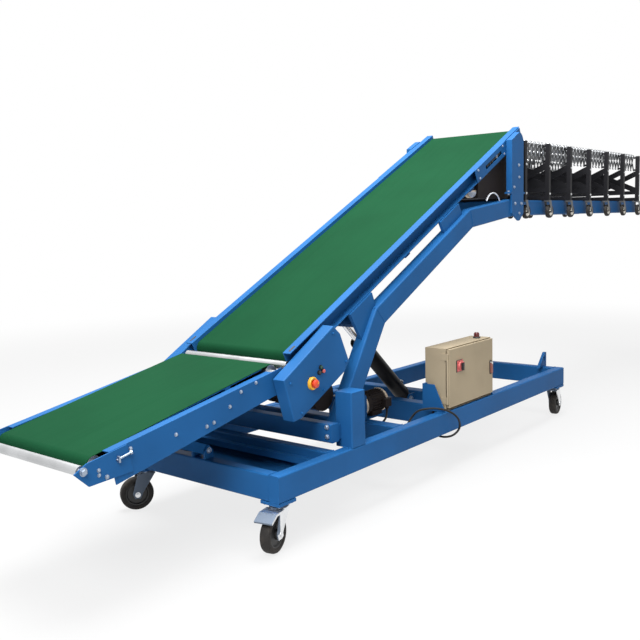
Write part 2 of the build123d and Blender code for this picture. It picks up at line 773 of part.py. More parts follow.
def infeed_sides():
    """Deep side plates with a turned-in upper edge and hinge ears at the head end."""
    ear_r = INFEED_HINGE_R + 22
    head = infeed.at(INFEED_S[1] - 80, INFEED_LOW)
    crown = infeed.at(INFEED_S[1], -40)
    flange_end = infeed.length - DRUM_R
    tail_s, head_s = INFEED_S
    drop = (INFEED_TAIL_TOP - INFEED_HEAD_TOP) * (flange_end - tail_s) / (head_s - tail_s)
    flange_top = INFEED_TAIL_TOP - drop

    def side_plate(side):
        web_y = span(side, INFEED_WEB_IN, INFEED_HALF)
        web = [(tail_s, INFEED_LOW), (head_s, INFEED_LOW), (head_s, INFEED_HEAD_TOP), (tail_s, INFEED_TAIL_TOP)]
        body = plate([infeed.at(*corner) for corner in web], web_y)
        flange = [(tail_s, INFEED_TAIL_TOP - FLANGE_T), (flange_end, flange_top - FLANGE_T),
                  (flange_end, flange_top), (tail_s, INFEED_TAIL_TOP)]
        body += plate([infeed.at(*corner) for corner in flange],
                      span(side, BELT_WIDTH / 2 + RUN_GAP, INFEED_WEB_IN))
        body += plate([head, (INFEED_HINGE_X, INFEED_HINGE_Z - ear_r), (INFEED_HINGE_X + ear_r, INFEED_HINGE_Z),
                       crown], web_y)
        body += bar_y(INFEED_HINGE_X, INFEED_HINGE_Z, ear_r, web_y)
        hole = bar_y(INFEED_HINGE_X, INFEED_HINGE_Z, INFEED_HINGE_R + FIT,
                     span(side, INFEED_WEB_IN - 1, INFEED_HALF + 1))
        return body - hole

    return both(side_plate)


def infeed_bed():
    """Slider plate on bearers inside the belt's loop, and ties under it."""
    half = BELT_WIDTH / 2
    parts = [run_bed(infeed, half)]
    for share in (0.22, 0.72):
        s = infeed.length * share
        bearer = infeed.slab((s - 15, s + 15), (-60, BED_LOW), (-half, half))
        parts.append(bearer + infeed.slab((s - 15, s + 15), (-60, -30), (-INFEED_WEB_IN, INFEED_WEB_IN)))
        parts.append(infeed.slab((s - 25, s + 25), TIE_N, (-INFEED_WEB_IN, INFEED_WEB_IN)))
    return gather(*parts)


def infeed_nose_plates():
    """Pointed end plates that hold the nose roller and the belt tension screws."""
    tip = (NOSE_TIP_X, NOSE_ROLLER_Z - 2)
    over = (NOSE_ROLLER_X + 16, NOSE_ROLLER_Z + 26)
    top = infeed.at(120, INFEED_TAIL_TOP - 4)
    low = infeed.at(120, INFEED_LOW + 20)
    under = (NOSE_ROLLER_X + 22, NOSE_ROLLER_Z - 60)
    return both(lambda side: plate([tip, over, top, low, under],
                                   span(side, INFEED_HALF, INFEED_HALF + NOSE_PLATE_T)))


def nose_roller():
    half = INFEED_HALF - FIT
    shaft = bar_y(NOSE_ROLLER_X, NOSE_ROLLER_Z, ROLLER_SHAFT_R, (-half, half))
    return shaft + bar_y(NOSE_ROLLER_X, NOSE_ROLLER_Z, ROLLER_R, (-half + 12, half - 12))


def infeed_prop_ears():
    """Slotted ears under the infeed's cross bar that ride on the prop's head pin."""
    inner = PROP_WIDTH / 2 + RUN_GAP
    low, high = TIE_N
    base_s = infeed.s_of(PROP_HEAD_X, high)
    seat = [infeed.at(base_s - 45, high), infeed.at(base_s + 45, high)]
    bar = infeed.slab((base_s - 45, base_s + 45), (low, high), (-INFEED_WEB_IN, INFEED_WEB_IN))
    hole_r = PROP_PIN_R + PROP_SLACK
    ear_r = hole_r + 14
    ears = bar
    for side in SIDES.values():
        y = span(side, inner, inner + PLATE)
        ear = plate([seat[0], (PROP_HEAD_X - ear_r, PROP_HEAD_Z), (PROP_HEAD_X + ear_r, PROP_HEAD_Z), seat[1]], y)
        ears += ear + bar_y(PROP_HEAD_X, PROP_HEAD_Z, ear_r, y)
        ears -= bar_y(PROP_HEAD_X, PROP_HEAD_Z, hole_r, span(side, inner - 1, inner + PLATE + 1))
    return ears


def infeed_prop():
    """Box arm from the tail beam up to the infeed, with an eye at its foot and a pin at its head."""
    dx, dz = PROP_HEAD_X - PROP_FOOT_X, PROP_HEAD_Z - PROP_FOOT_Z
    reach = hypot(dx, dz)
    nx, nz = -dz / reach * PROP_DEPTH / 2, dx / reach * PROP_DEPTH / 2
    half = PROP_WIDTH / 2
    arm = plate([(PROP_FOOT_X + nx, PROP_FOOT_Z + nz), (PROP_HEAD_X + nx, PROP_HEAD_Z + nz),
                 (PROP_HEAD_X - nx, PROP_HEAD_Z - nz), (PROP_FOOT_X - nx, PROP_FOOT_Z - nz)], (-half, half))
    arm += bar_y(PROP_FOOT_X, PROP_FOOT_Z, PROP_DEPTH / 2, (-half, half))
    arm += bar_y(PROP_HEAD_X, PROP_HEAD_Z, PROP_DEPTH / 2, (-half, half))
    pin_reach = half + RUN_GAP + PLATE
    arm += bar_y(PROP_HEAD_X, PROP_HEAD_Z, PROP_PIN_R, (-pin_reach, pin_reach))
    return arm - bar_y(PROP_FOOT_X, PROP_FOOT_Z, PROP_PIN_R + FIT, (-half - 1, half + 1))


# Lift cylinder

CYL_REACH = hypot(CYL_HEAD_X - CYL_FOOT_X, CYL_HEAD_Z - CYL_FOOT_Z)
CYL_ANGLE = degrees(atan2(CYL_HEAD_Z - CYL_FOOT_Z, CYL_HEAD_X - CYL_FOOT_X))


def along_cylinder(shape):
    """Places a shape drawn along +X from the lower pin on the cylinder's own axis."""
    return Pos(CYL_FOOT_X, 0, CYL_FOOT_Z) * Rot(0, -CYL_ANGLE, 0) * shape


def cylinder_barrel():
    half = CYL_EYE_W / 2
    eye = bar_y(0, 0, 34, (-half, half)) + block((0, 60), (-half + 6, half - 6), (-22, 22))
    barrel = bar_x(0, 0, CYL_R, (50, CYL_LENGTH)) + bar_x(0, 0, CYL_R + 6, (CYL_LENGTH - 45, CYL_LENGTH))
    hollow = bar_x(0, 0, CYL_ROD_R + FIT, (110, CYL_LENGTH + 1))
    return along_cylinder(eye + barrel - hollow - bar_y(0, 0, CYL_PIN_R + FIT, (-half - 1, half + 1)))


def cylinder_rod():
    half = CYL_EYE_W / 2
    hole_r = CYL_PIN_R + CYL_SLACK
    eye_r = hole_r + 12
    rod = bar_x(0, 0, CYL_ROD_R, (CYL_ROD_START, CYL_REACH - hole_r))
    rod += bar_y(CYL_REACH, 0, eye_r, (-half, half))
    return along_cylinder(rod - bar_y(CYL_REACH, 0, hole_r, (-half - 1, half + 1)))


# Power pack

PACK_TOP = RAIL_TOP + PACK_PLATE_T
PUMP_Z = PACK_TOP + PUMP_MOTOR_LIFT


BLOCK_X = (PACK_X - PUMP_FLANGE_T - PUMP_BLOCK_T, PACK_X - PUMP_FLANGE_T)
TANK_X = (BLOCK_X[0] - TANK_LENGTH, BLOCK_X[0])


def pack_plate():
    """Plate across the beam under the power pack, from the tank to the motor's saddle."""
    return block((TANK_X[0], PACK_X + SADDLE_X[1]),
                 (PACK_Y - PACK_PLATE_HALF, PACK_Y + PACK_PLATE_HALF), (RAIL_TOP, PACK_TOP))


def pump_motor():
    """Electric motor on a saddle, with a terminal box and cable gland on its near side."""
    x = (PACK_X, PACK_X + PUMP_MOTOR_LENGTH)
    motor = bar_x(PACK_Y, PUMP_Z, PUMP_MOTOR_R, x)
    saddle = (PACK_X + SADDLE_X[0], PACK_X + SADDLE_X[1])
    motor += block(saddle, (PACK_Y - SADDLE_HALF, PACK_Y + SADDLE_HALF), (PACK_TOP, PUMP_Z - SADDLE_DROP))
    end = CABLE_ROUTE[-1]
    box_low = end[2] + GLAND_LENGTH
    motor += block(TERMINAL_X, TERMINAL_Y, (box_low, box_low + TERMINAL_HEIGHT))
    return motor + bar_z(end[0], end[1], GLAND_R, (end[2], box_low))


def pump_block():
    """Adapter flange and valve block between the motor and the tank."""
    flange = bar_x(PACK_Y, PUMP_Z, PUMP_MOTOR_R + 7, (BLOCK_X[1], PACK_X))
    body = block(BLOCK_X, (PACK_Y - 45, PACK_Y + 45), (PUMP_Z - 45, PUMP_Z + 45))
    return flange + body


def oil_tank():
    """Tank on the valve block's far side, with a filler cap."""
    tank = block(TANK_X, (PACK_Y - TANK_WIDTH / 2, PACK_Y + TANK_WIDTH / 2),
                 (PACK_TOP, PACK_TOP + TANK_HEIGHT))
    tank = fillet(tank.edges().filter_by(Axis.X), 16)
    cap_x = TANK_X[0] + TANK_LENGTH * 0.4
    return tank + bar_z(cap_x, PACK_Y, 22, (PACK_TOP + TANK_HEIGHT, PACK_TOP + TANK_HEIGHT + 24))


# Control box

BOX_Y = (-BOX_FRONT + DOOR_T + FIT, -BOX_FRONT + BOX_DEPTH)
BOX_Z = (RAIL_TOP, RAIL_TOP + BOX_HEIGHT)
DOOR_X = (BOX_X + 6, BOX_X + BOX_LENGTH - 6)
DOOR_Z = (BOX_Z[0] + DOOR_MARGIN, BOX_Z[1] - 6)
HINGE_PIN = (BOX_X - DOOR_HINGE_R, -BOX_FRONT + DOOR_HINGE_R)


def control_box():
    """Sheet-metal housing, open at the front, with the cable's gland under it."""
    x = (BOX_X, BOX_X + BOX_LENGTH)
    shell = block(x, BOX_Y, BOX_Z)
    w = BOX_WALL
    shell -= block((x[0] + w, x[1] - w), (BOX_Y[0] - 1, BOX_Y[1] - w), (BOX_Z[0] + w, BOX_Z[1] - w))
    start = CABLE_ROUTE[0]
    return shell + door_hinges() + bar_z(start[0], start[1], GLAND_R, (start[2], BOX_Z[0]))


def box_door():
    """Door hinged on a knuckle at its tail-side edge."""
    door = block(DOOR_X, (-BOX_FRONT, -BOX_FRONT + DOOR_T), DOOR_Z)
    door = fillet(door.edges().filter_by(Axis.Z), 4)
    knuckle = bar_z(*HINGE_PIN, DOOR_HINGE_R, (DOOR_Z[0] + 60, DOOR_Z[1] - 60))
    leaf = block((HINGE_PIN[0], DOOR_X[0] + 10), (-BOX_FRONT + 3, -BOX_FRONT + 7),
                 (DOOR_Z[0] + 60, DOOR_Z[1] - 60))
    return door + knuckle + leaf


def door_hinges():
    """Fixed hinge knuckles above and below the door's own, on the box's tail-side wall."""
    parts = []
    for z in ((DOOR_Z[0] + 20, DOOR_Z[0] + 60 - FIT), (DOOR_Z[1] - 60 + FIT, DOOR_Z[1] - 20)):
        knuckle = bar_z(*HINGE_PIN, DOOR_HINGE_R, z)
        leaf = block((BOX_X - 4, BOX_X), (HINGE_PIN[1], BOX_Y[0] + 30), z)
        parts.append(knuckle + leaf)
    return parts[0] + parts[1]


def door_fittings():
    """Main switch on its plate and the door lock."""
    face = -BOX_FRONT
    cx, cz = SWITCH_X, BOX_Z[0] + SWITCH_RISE
    switch = block((cx - 32, cx + 32), (face - 4, face), (cz - 32, cz + 32))
    switch += bar_y(cx, cz, 24, (face - 14, face - 4))
    switch += block((cx - 7, cx + 7), (face - 30, face - 14), (cz - 24, cz + 24))
    lock_x = DOOR_X[1] - 30
    lock_z = (BOX_Z[0] + BOX_HEIGHT / 2 - 40, BOX_Z[0] + BOX_HEIGHT / 2 + 40)
    lock = block((lock_x - 12, lock_x + 12), (face - 14, face), lock_z)
    return gather(switch, lock)


def box_lamp():
    """Signal lamp on the box's lid."""
    x, y = LAMP_X, -BOX_FRONT + LAMP_SETBACK
    top = BOX_Z[1]
    return bar_z(x, y, 22, (top, top + 10)) + bar_z(x, y, 17, (top + 10, top + 36))


def box_bracket():
    """Side plates that stand on the rail and clasp the box's ends."""
    outer = -BASE_WIDTH / 2
    top = RAIL_TOP + BRACKET_HEIGHT
    plates = []
    for x in (BOX_X - BRACKET_GAP - BRACKET_T, BOX_X + BOX_LENGTH):
        bottom = [(outer + 4, RAIL_TOP), (BOX_Y[1], RAIL_TOP)]
        outline = [(x, *bottom[0]), (x, *bottom[1]), (x, BOX_Y[1], top), (x, outer + 74, top)]
        face = make_face(Polyline(*outline, close=True))
        plates.append(extrude(face, amount=BRACKET_T, dir=(1, 0, 0)))
    shelf = block((BOX_X - BRACKET_GAP, BOX_X), (BOX_Y[1] - 12, BOX_Y[1]), (RAIL_TOP, top))
    return gather(plates[0] + shelf, plates[1])


def control_cable():
    """Cable along its route: straight runs joined by arcs as large as the runs allow."""
    points = [Vector(*p) for p in CABLE_ROUTE]
    runs = [b - a for a, b in zip(points, points[1:])]
    radii = []
    for a, b in zip(runs, runs[1:]):
        radii.append(0.45 * min(a.length, b.length) / tan(radians(a.get_angle(b)) / 2))
    path = FilletPolyline(*points, radius=radii)
    section = Plane(path @ 0, z_dir=path % 0) * Circle(CABLE_R)
    print("cable radii", [round(r) for r in radii], "length", round(path.length))
    return sweep(section, path=path)


# Telescopic roller unit

def leg_x(k):
    return LEG_FIRST_X + k * CELLS_PER_SPAN * CELL_PITCH


def tele_leg(k):
    """Black leg frame: two posts, two rails, hangers for the lattice and two castor forks."""
    x = leg_x(k)
    half = LEG_POST / 2
    inner, outer = LEG_POST_INNER, LEG_POST_INNER + LEG_POST
    foot = PLATFORM_TOP + FIT
    leg = None
    for low in (foot, LEG_RAIL_Z):
        rail = block((x - half, x + half), (-inner, inner), (low, low + LEG_POST))
        leg = rail if leg is None else leg + rail
    for side in SIDES.values():
        leg += block((x - half, x + half), span(side, inner, outer), (foot, LEG_TOP))
        hang = LATTICE_OUT + FIT
        leg += bar_y(x, TELE_ROLLER_Z - LATTICE_HEIGHT, 8, span(side, hang, inner))
        leg += bar_y(x, TELE_ROLLER_Z - 14, 8, span(side, hang, inner))
        leg += small_fork(x, side * (inner + half), foot)
    return leg


def small_fork(x, y, top):
    """Fork of a small castor under a leg, trailing along +X."""
    axle_x = x + SMALL_TRAIL
    axle_z = top - SMALL_CASTOR_H + SMALL_WHEEL_D / 2
    inner = SMALL_WHEEL_W / 2 + 3
    crown = top - 12
    cheek = [(x - 16, crown), (x + 20, crown), (axle_x + 12, axle_z + 4), (axle_x + 8, axle_z - 10),
             (axle_x - 8, axle_z - 10), (axle_x - 14, axle_z + 8)]
    fork = block((x - 20, x + 20), (y - inner - SMALL_CHEEK, y + inner + SMALL_CHEEK), (crown, top))
    for side in SIDES.values():
        low, high = span(side, inner, inner + SMALL_CHEEK)
        fork += plate(cheek, (y + low, y + high))
    return fork + bar_y(axle_x, axle_z, SMALL_AXLE_R, (y - inner, y + inner))


def tele_wheels(k):
    """The two small wheels of one leg, on one line."""
    axle_x = leg_x(k) + SMALL_TRAIL
    axle_z = PLATFORM_TOP + FIT - SMALL_CASTOR_H + SMALL_WHEEL_D / 2
    half = SMALL_WHEEL_W / 2
    wheels = []
    for side in SIDES.values():
        y = side * (LEG_POST_INNER + LEG_POST / 2)
        wheel = bar_y(axle_x, axle_z, SMALL_WHEEL_D / 2, (y - half, y + half))
        wheel = chamfer(wheel.edges().filter_by(GeomType.CIRCLE), 5)
        wheels.append(wheel - bar_y(axle_x, axle_z, SMALL_AXLE_R + FIT, (y - half - 1, y + half + 1)))
    return gather(*wheels)


LATTICE_OUT = LATTICE_IN + 2 * LINK_T + FIT


def link(x0, x1, y):
    """Flat link of the scissor lattice from its lower pivot at x0 to its upper pivot at x1."""
    low = TELE_ROLLER_Z - LATTICE_HEIGHT
    reach = hypot(x1 - x0, LATTICE_HEIGHT)
    turn = degrees(atan2(LATTICE_HEIGHT, x1 - x0))
    middle = Pos((x0 + x1) / 2, (y[0] + y[1]) / 2, low + LATTICE_HEIGHT / 2)
    return middle * Rot(0, -turn, 0) * Box(reach + LINK_W, y[1] - y[0], LINK_W)


def tele_rollers(k):
    """Rollers of one span, from its leg to the one before the next leg, with both sides' links."""
    solids = []
    last = k == LEG_COUNT - 2
    for i in range(CELLS_PER_SPAN + last):
        x = leg_x(k) + i * CELL_PITCH
        first = k == 0 and i == 0
        seat = LATTICE_IN + LINK_T if first else LATTICE_IN - FIT
        body = bar_y(x, TELE_ROLLER_Z, ROLLER_R, (-LATTICE_IN + 6, LATTICE_IN - 6))
        solids.append(body + bar_y(x, TELE_ROLLER_Z, ROLLER_SHAFT_R, (-seat, seat)))
    for i in range(CELLS_PER_SPAN):
        x = leg_x(k) + i * CELL_PITCH
        for side in SIDES.values():
            inner = span(side, LATTICE_IN, LATTICE_IN + LINK_T)
            outer = span(side, LATTICE_IN + LINK_T + FIT, LATTICE_OUT)
            solids.append(link(x, x + CELL_PITCH, inner))
            solids.append(link(x + CELL_PITCH, x, outer))
    return gather(*solids)


def make_parts():
    """Every node's shape by name."""
    parts = {
        "base_side_rails": base_side_rails(),
        "base_cross_beams": base_cross_beams(),
        "pivot_columns": pivot_columns(),
        "base_fittings": base_fittings(),
        "boom_tubes": boom_tubes(),
        "boom_cross_members": boom_cross_members(),
        "platform_beams": platform_beams(),
        "head_posts": head_posts(),
        "incline_sides": incline_sides(),
        "incline_bed": incline_bed(),
        "incline_belt": run_belt(incline),
        "incline_rollers": gather(run_drums(incline, WEB_OUT - WEB_T), fold_roller()),
        "chain_cases": chain_cases(),
        "case_buttons": case_buttons(),
        "drive_motor": drive_motor(),
        "infeed_sides": infeed_sides(),
        "infeed_bed": gather(infeed_bed(), infeed_prop_ears()),
        "infeed_belt": run_belt(infeed),
        "infeed_rollers": gather(run_drums(infeed, INFEED_WEB_IN), nose_roller()),
        "infeed_nose_plates": infeed_nose_plates(),
        "infeed_prop": infeed_prop(),
        "cylinder_barrel": cylinder_barrel(),
        "cylinder_rod": cylinder_rod(),
        "pump_motor": pump_motor(),
        "pump_block": pump_block(),
        "oil_tank": oil_tank(),
        "control_box": control_box(),
        "box_door": box_door(),
        "door_fittings": door_fittings(),
        "box_lamp": box_lamp(),
        "control_cable": control_cable(),
    }
    for name, at_head, side, trail, brake in CASTORS:
        x, y = castor_place(at_head, side)
        turn = Pos(x, y, 0) * Rot(0, 0, trail)
        parts[f"castor_fork_{name}"] = turn * castor_fork(CASTOR_TRAIL, brake)
        parts[f"castor_wheel_{name}"] = turn * Pos(CASTOR_TRAIL, 0, 0) * castor_wheel()
    for k in range(LEG_COUNT):
        parts[f"tele_leg_{k + 1}"] = tele_leg(k)
        parts[f"tele_wheels_{k + 1}"] = tele_wheels(k)
    for k in range(LEG_COUNT - 1):
        parts[f"tele_rollers_{k + 1}"] = tele_rollers(k)
    return parts


if __name__ == "__main__":
    os.makedirs("parts", exist_ok=True)
    for node, shape in make_parts().items():
        export_step(Pos(-X_MID, 0, 0) * shape, f"parts/{node}.step")
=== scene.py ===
"""Finished look of a mobile telescopic conveyor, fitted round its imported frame, in metres."""

import json
import logging
import math
from dataclasses import dataclass
from typing import Callable, Iterable, Sequence, Union

import bmesh
import bpy
from mathutils import Matrix, Vector

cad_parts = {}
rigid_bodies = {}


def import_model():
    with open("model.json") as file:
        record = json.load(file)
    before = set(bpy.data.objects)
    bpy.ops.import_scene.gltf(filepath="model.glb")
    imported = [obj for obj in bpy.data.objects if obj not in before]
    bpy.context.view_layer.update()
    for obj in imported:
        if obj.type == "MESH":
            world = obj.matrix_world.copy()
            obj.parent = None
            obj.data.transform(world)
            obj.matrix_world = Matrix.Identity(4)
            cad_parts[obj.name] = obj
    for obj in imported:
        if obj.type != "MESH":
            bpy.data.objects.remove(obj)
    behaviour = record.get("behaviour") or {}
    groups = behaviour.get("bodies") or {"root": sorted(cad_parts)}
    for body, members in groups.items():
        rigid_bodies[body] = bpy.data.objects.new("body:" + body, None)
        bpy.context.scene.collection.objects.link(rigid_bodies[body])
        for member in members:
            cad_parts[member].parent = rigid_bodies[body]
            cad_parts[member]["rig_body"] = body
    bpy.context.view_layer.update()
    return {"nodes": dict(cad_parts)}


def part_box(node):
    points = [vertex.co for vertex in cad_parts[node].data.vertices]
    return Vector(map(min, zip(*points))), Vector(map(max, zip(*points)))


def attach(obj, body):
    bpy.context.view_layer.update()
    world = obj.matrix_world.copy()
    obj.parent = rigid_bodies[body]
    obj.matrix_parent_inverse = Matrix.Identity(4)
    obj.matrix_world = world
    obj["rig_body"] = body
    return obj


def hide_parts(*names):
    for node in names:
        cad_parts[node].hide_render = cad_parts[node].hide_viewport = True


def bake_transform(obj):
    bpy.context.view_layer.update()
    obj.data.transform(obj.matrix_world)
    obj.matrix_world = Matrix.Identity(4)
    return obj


LOG = logging.getLogger("conveyor")
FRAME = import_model()
NODES = FRAME["nodes"]

Point = Sequence[float]
Color = tuple[float, float, float]

# The drawing's X = 0 is the base frame's tail face, and the frame's is the middle of the machine
TAIL_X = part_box("base_side_rails")[0].x
SIDES = (-1, 1)


def at(x: float, y: float, z: float) -> Vector:
    """Place in the frame of a point measured from the base frame's tail face."""
    return Vector((TAIL_X + x, y, z))


# Shader tools


class Value:
    """A shader socket whose arithmetic adds Math nodes."""

    def __init__(self, graph: "Graph", socket: bpy.types.NodeSocket) -> None:
        """Keeps the socket and the graph that it belongs to."""
        self.graph, self.socket = graph, socket

    def _math(self, operation: str, first: object, second: object) -> "Value":
        """Adds one Math node."""
        return self.graph.add("ShaderNodeMath", {"operation": operation}, {0: first, 1: second})

    def __add__(self, other: object) -> "Value":
        """Sum."""
        return self._math("ADD", self, other)

    def __sub__(self, other: object) -> "Value":
        """Difference."""
        return self._math("SUBTRACT", self, other)

    def __rsub__(self, other: object) -> "Value":
        """Difference from a number."""
        return self._math("SUBTRACT", other, self)

    def __mul__(self, other: object) -> "Value":
        """Product."""
        return self._math("MULTIPLY", self, other)

    def over(self, low: float, high: float) -> "Value":
        """Smooth step from 0 at low to 1 at high."""
        return self.graph.add("ShaderNodeMapRange", {"interpolation_type": "SMOOTHSTEP"},
                              {"Value": self, "From Min": low, "From Max": high})

    __radd__, __rmul__ = __add__, __mul__


class Graph:
    """The node tree of one material."""

    def __init__(self, name: str) -> None:
        """Starts a material with a Principled shader."""
        self.material = bpy.data.materials.new(name)
        self.material.use_nodes = True
        self.tree = self.material.node_tree
        self.shader = self.tree.nodes["Principled BSDF"]

    def add(self, kind: str, settings: dict, inputs: dict, output: Union[int, str] = 0) -> Value:
        """Adds a node.

        Args:
            kind: Blender's type name of the node.
            settings: attributes that are set before the sockets.
            inputs: socket name or number to a Value or a constant.
            output: which output is wanted.

        Returns:
            The wanted output.
        """
        node = self.tree.nodes.new(kind)
        for name, value in settings.items():
            setattr(node, name, value)
        for key, value in inputs.items():
            self.feed(node.inputs[key], value)
        return Value(self, node.outputs[output])

    def feed(self, socket: bpy.types.NodeSocket, value: object) -> None:
        """Links a Value to a socket, or sets a constant on it."""
        if isinstance(value, Value):
            self.tree.links.new(value.socket, socket)
        else:
            socket.default_value = (*value, 1.0) if socket.type == "RGBA" else value

    def set(self, **inputs: object) -> None:
        """Feeds the shader's own sockets, named with underscores for spaces."""
        for name, value in inputs.items():
            self.feed(self.shader.inputs[name.replace("_", " ")], value)

    def place(self, scale: Point = (1, 1, 1), turn: Point = (0, 0, 0)) -> Value:
        """Object coordinates, turned and then stretched."""
        coords = self.add("ShaderNodeTexCoord", {}, {}, "Object")
        turned = self.add("ShaderNodeVectorRotate", {"rotation_type": "EULER_XYZ"},
                          {"Vector": coords, "Rotation": turn})
        return self.add("ShaderNodeVectorMath", {"operation": "MULTIPLY"}, {0: turned, 1: scale})

    def noise(self, scale: float, detail: float = 3.0, where: Value = None, rough: float = 0.5) -> Value:
        """Noise over the piece, from 0 to 1."""
        return self.add("ShaderNodeTexNoise", {}, {"Vector": where or self.place(), "Scale": scale,
                                                   "Detail": detail, "Roughness": rough}, "Fac")

    def mix(self, share: object, first: object, second: object) -> Value:
        """Colour between two colours."""
        return self.add("ShaderNodeMix", {"data_type": "RGBA"}, {0: share, 6: first, 7: second}, 2)

    def bump(self, height: Value, depth: float, strength: float = 1.0) -> Value:
        """Normal of a height of so many metres."""
        return self.add("ShaderNodeBump", {}, {"Height": height, "Distance": depth, "Strength": strength}, "Normal")


# Finishes


def tone(color: Color, factor: float) -> Color:
    """A colour made darker or lighter."""
    return tuple(min(1.0, c * factor) for c in color)


@dataclass(frozen=True)
class Finish:
    """A surface finish; each kind adds its own pattern."""

    name: str
    color: Color
    roughness: float
    slot: str

    def material(self) -> bpy.types.Material:
        """The Blender material of this finish, made once."""
        made = bpy.data.materials.get(self.name)
        if made is None:
            graph = Graph(self.name)
            graph.set(Base_Color=self.color, Roughness=self.roughness)
            self.pattern(graph)
            made = graph.material
        return made

    def pattern(self, graph: Graph) -> None:
        """Adds what varies over the surface."""
        raise NotImplementedError


@dataclass(frozen=True)
class Paint(Finish):
    """Sprayed enamel: clouded tone, orange peel and a thin bloom of scuffs."""

    peel: float = 0.00005
    gloss: float = 0.09
    coat: float = 0.0

    def pattern(self, graph: Graph) -> None:
        """Clouds the colour, roughens the scuffs and ripples the skin."""
        cloud = graph.noise(3.0, 4.0)
        scuff = graph.noise(26.0, 9.0, rough=0.72).over(0.60, 0.74)
        body = graph.mix(cloud.over(0.3, 0.7), tone(self.color, 0.91), tone(self.color, 1.08))
        worn = tuple(0.85 * c + 0.02 for c in self.color)
        graph.set(Base_Color=graph.mix(scuff * 0.30, body, worn),
                  Roughness=self.roughness + 0.10 * cloud + 0.16 * scuff, Specular_IOR_Level=self.gloss,
                  Normal=graph.bump(graph.noise(240.0, 2.0), self.peel), Coat_Weight=self.coat, Coat_Roughness=0.15)


@dataclass(frozen=True)
class Steel(Finish):
    """Bare or zinc-plated steel with drawn streaks and dull patches."""

    stretch: Point = (1, 1, 1)

    def pattern(self, graph: Graph) -> None:
        """Streaks the roughness and clouds the tone."""
        streak = graph.noise(60.0, 4.0, graph.place(self.stretch))
        patch = graph.noise(9.0, 3.0)
        graph.set(Base_Color=graph.mix(patch.over(0.3, 0.7), tone(self.color, 0.88), tone(self.color, 1.06)),
                  Roughness=self.roughness + 0.16 * streak + 0.06 * patch, Metallic=1.0,
                  Normal=graph.bump(streak, 0.00004))


@dataclass(frozen=True)
class Rubber(Finish):
    """Solid rubber with dust worked into it."""

    dust: Color = (0.10, 0.085, 0.07)
    share: float = 0.35

    def pattern(self, graph: Graph) -> None:
        """Dusts the colour and grains the skin."""
        dirt = graph.noise(22.0, 7.0, rough=0.65).over(0.42, 0.75)
        graph.set(Base_Color=graph.mix(dirt * self.share, self.color, self.dust),
                  Roughness=self.roughness + 0.18 * dirt, Specular_IOR_Level=0.25,
                  Normal=graph.bump(graph.noise(420.0, 3.0), 0.00012))


@dataclass(frozen=True)
class BeltCover(Finish):
    """Smooth belt cover with faint running marks along the slope and a fine cloth print."""

    slope: float = 0.0

    def pattern(self, graph: Graph) -> None:
        """Draws the running marks along the belt and the cloth print across it."""
        along = graph.place((1.2, 34.0, 1.2), (0.0, self.slope, 0.0))
        marks = graph.noise(1.0, 5.0, along, 0.6)
        cloud = graph.noise(2.2, 4.0)
        cloth = graph.noise(1.0, 2.0, graph.place((620.0, 620.0, 40.0), (0.0, self.slope, 0.0)))
        body = graph.mix(cloud.over(0.3, 0.7), tone(self.color, 0.93), tone(self.color, 1.07))
        graph.set(Base_Color=graph.mix(marks.over(0.52, 0.78) * 0.22, body, tone(self.color, 0.76)),
                  Roughness=self.roughness + 0.14 * marks, Specular_IOR_Level=0.02,
                  Normal=graph.bump(cloth, 0.00008))


@dataclass(frozen=True)
class Moulded(Finish):
    """Moulded plastic with a fine grain."""

    grain: float = 0.00005

    def pattern(self, graph: Graph) -> None:
        """Grains the skin and varies its gloss."""
        grain = graph.noise(380.0, 3.0)
        graph.set(Base_Color=graph.mix(graph.noise(14.0), tone(self.color, 0.92), tone(self.color, 1.06)),
                  Roughness=self.roughness + 0.10 * grain, Normal=graph.bump(grain, self.grain))


BLUE = Paint("blue_enamel", (0.013, 0.093, 0.262), 0.42, "blue_paint")
BLACK = Paint("black_enamel", (0.014, 0.014, 0.016), 0.42, "black_paint")
MOTOR = Paint("motor_enamel", (0.022, 0.017, 0.016), 0.48, "black_paint")
CYLINDER_BLACK = Paint("cylinder_enamel", (0.007, 0.007, 0.008), 0.36, "cylinder_black")
BEIGE = Paint("box_powder_coat", (0.370, 0.305, 0.210), 0.50, "box_beige", peel=0.00010)
GREY = Paint("castor_zinc_paint", (0.155, 0.19, 0.245), 0.40, "castor_grey")
ZINC = Steel("bright_zinc", (0.78, 0.79, 0.80), 0.22, "zinc_steel")
BOLT = Steel("bolt_zinc", (0.36, 0.42, 0.51), 0.36, "zinc_steel")
LATTICE = Steel("lattice_zinc", (0.145, 0.15, 0.155), 0.42, "zinc_steel")
GALVANISED = Steel("dull_zinc", (0.64, 0.62, 0.57), 0.36, "zinc_steel")
ROLLER = Steel("roller_tube", (0.56, 0.57, 0.58), 0.28, "zinc_steel", stretch=(30.0, 0.6, 30.0))
CHROME = Steel("hard_chrome", (0.82, 0.83, 0.85), 0.06, "rod_chrome")
CAST = Steel("cast_alloy", (0.62, 0.53, 0.43), 0.42, "block_tan")
TYRE = Rubber("castor_tyre", (0.020, 0.018, 0.017), 0.62, "castor_rubber")
CABLE = Rubber("cable_sheath", (0.010, 0.010, 0.010), 0.48, "cable_black", share=0.12)
WIRE = Moulded("white_sheath", (0.72, 0.74, 0.78), 0.42, "zinc_steel")
NYLON = Moulded("black_nylon", (0.014, 0.014, 0.014), 0.42, "black_paint")
RED = Moulded("red_plastic", (0.62, 0.055, 0.016), 0.30, "button_red")
YELLOW = Moulded("yellow_plastic", (0.72, 0.36, 0.02), 0.34, "button_red")
PINK = Moulded("faded_red_plastic", (0.52, 0.105, 0.10), 0.38, "button_red")
LENS = Moulded("dark_red_lens", (0.10, 0.012, 0.012), 0.18, "button_red")
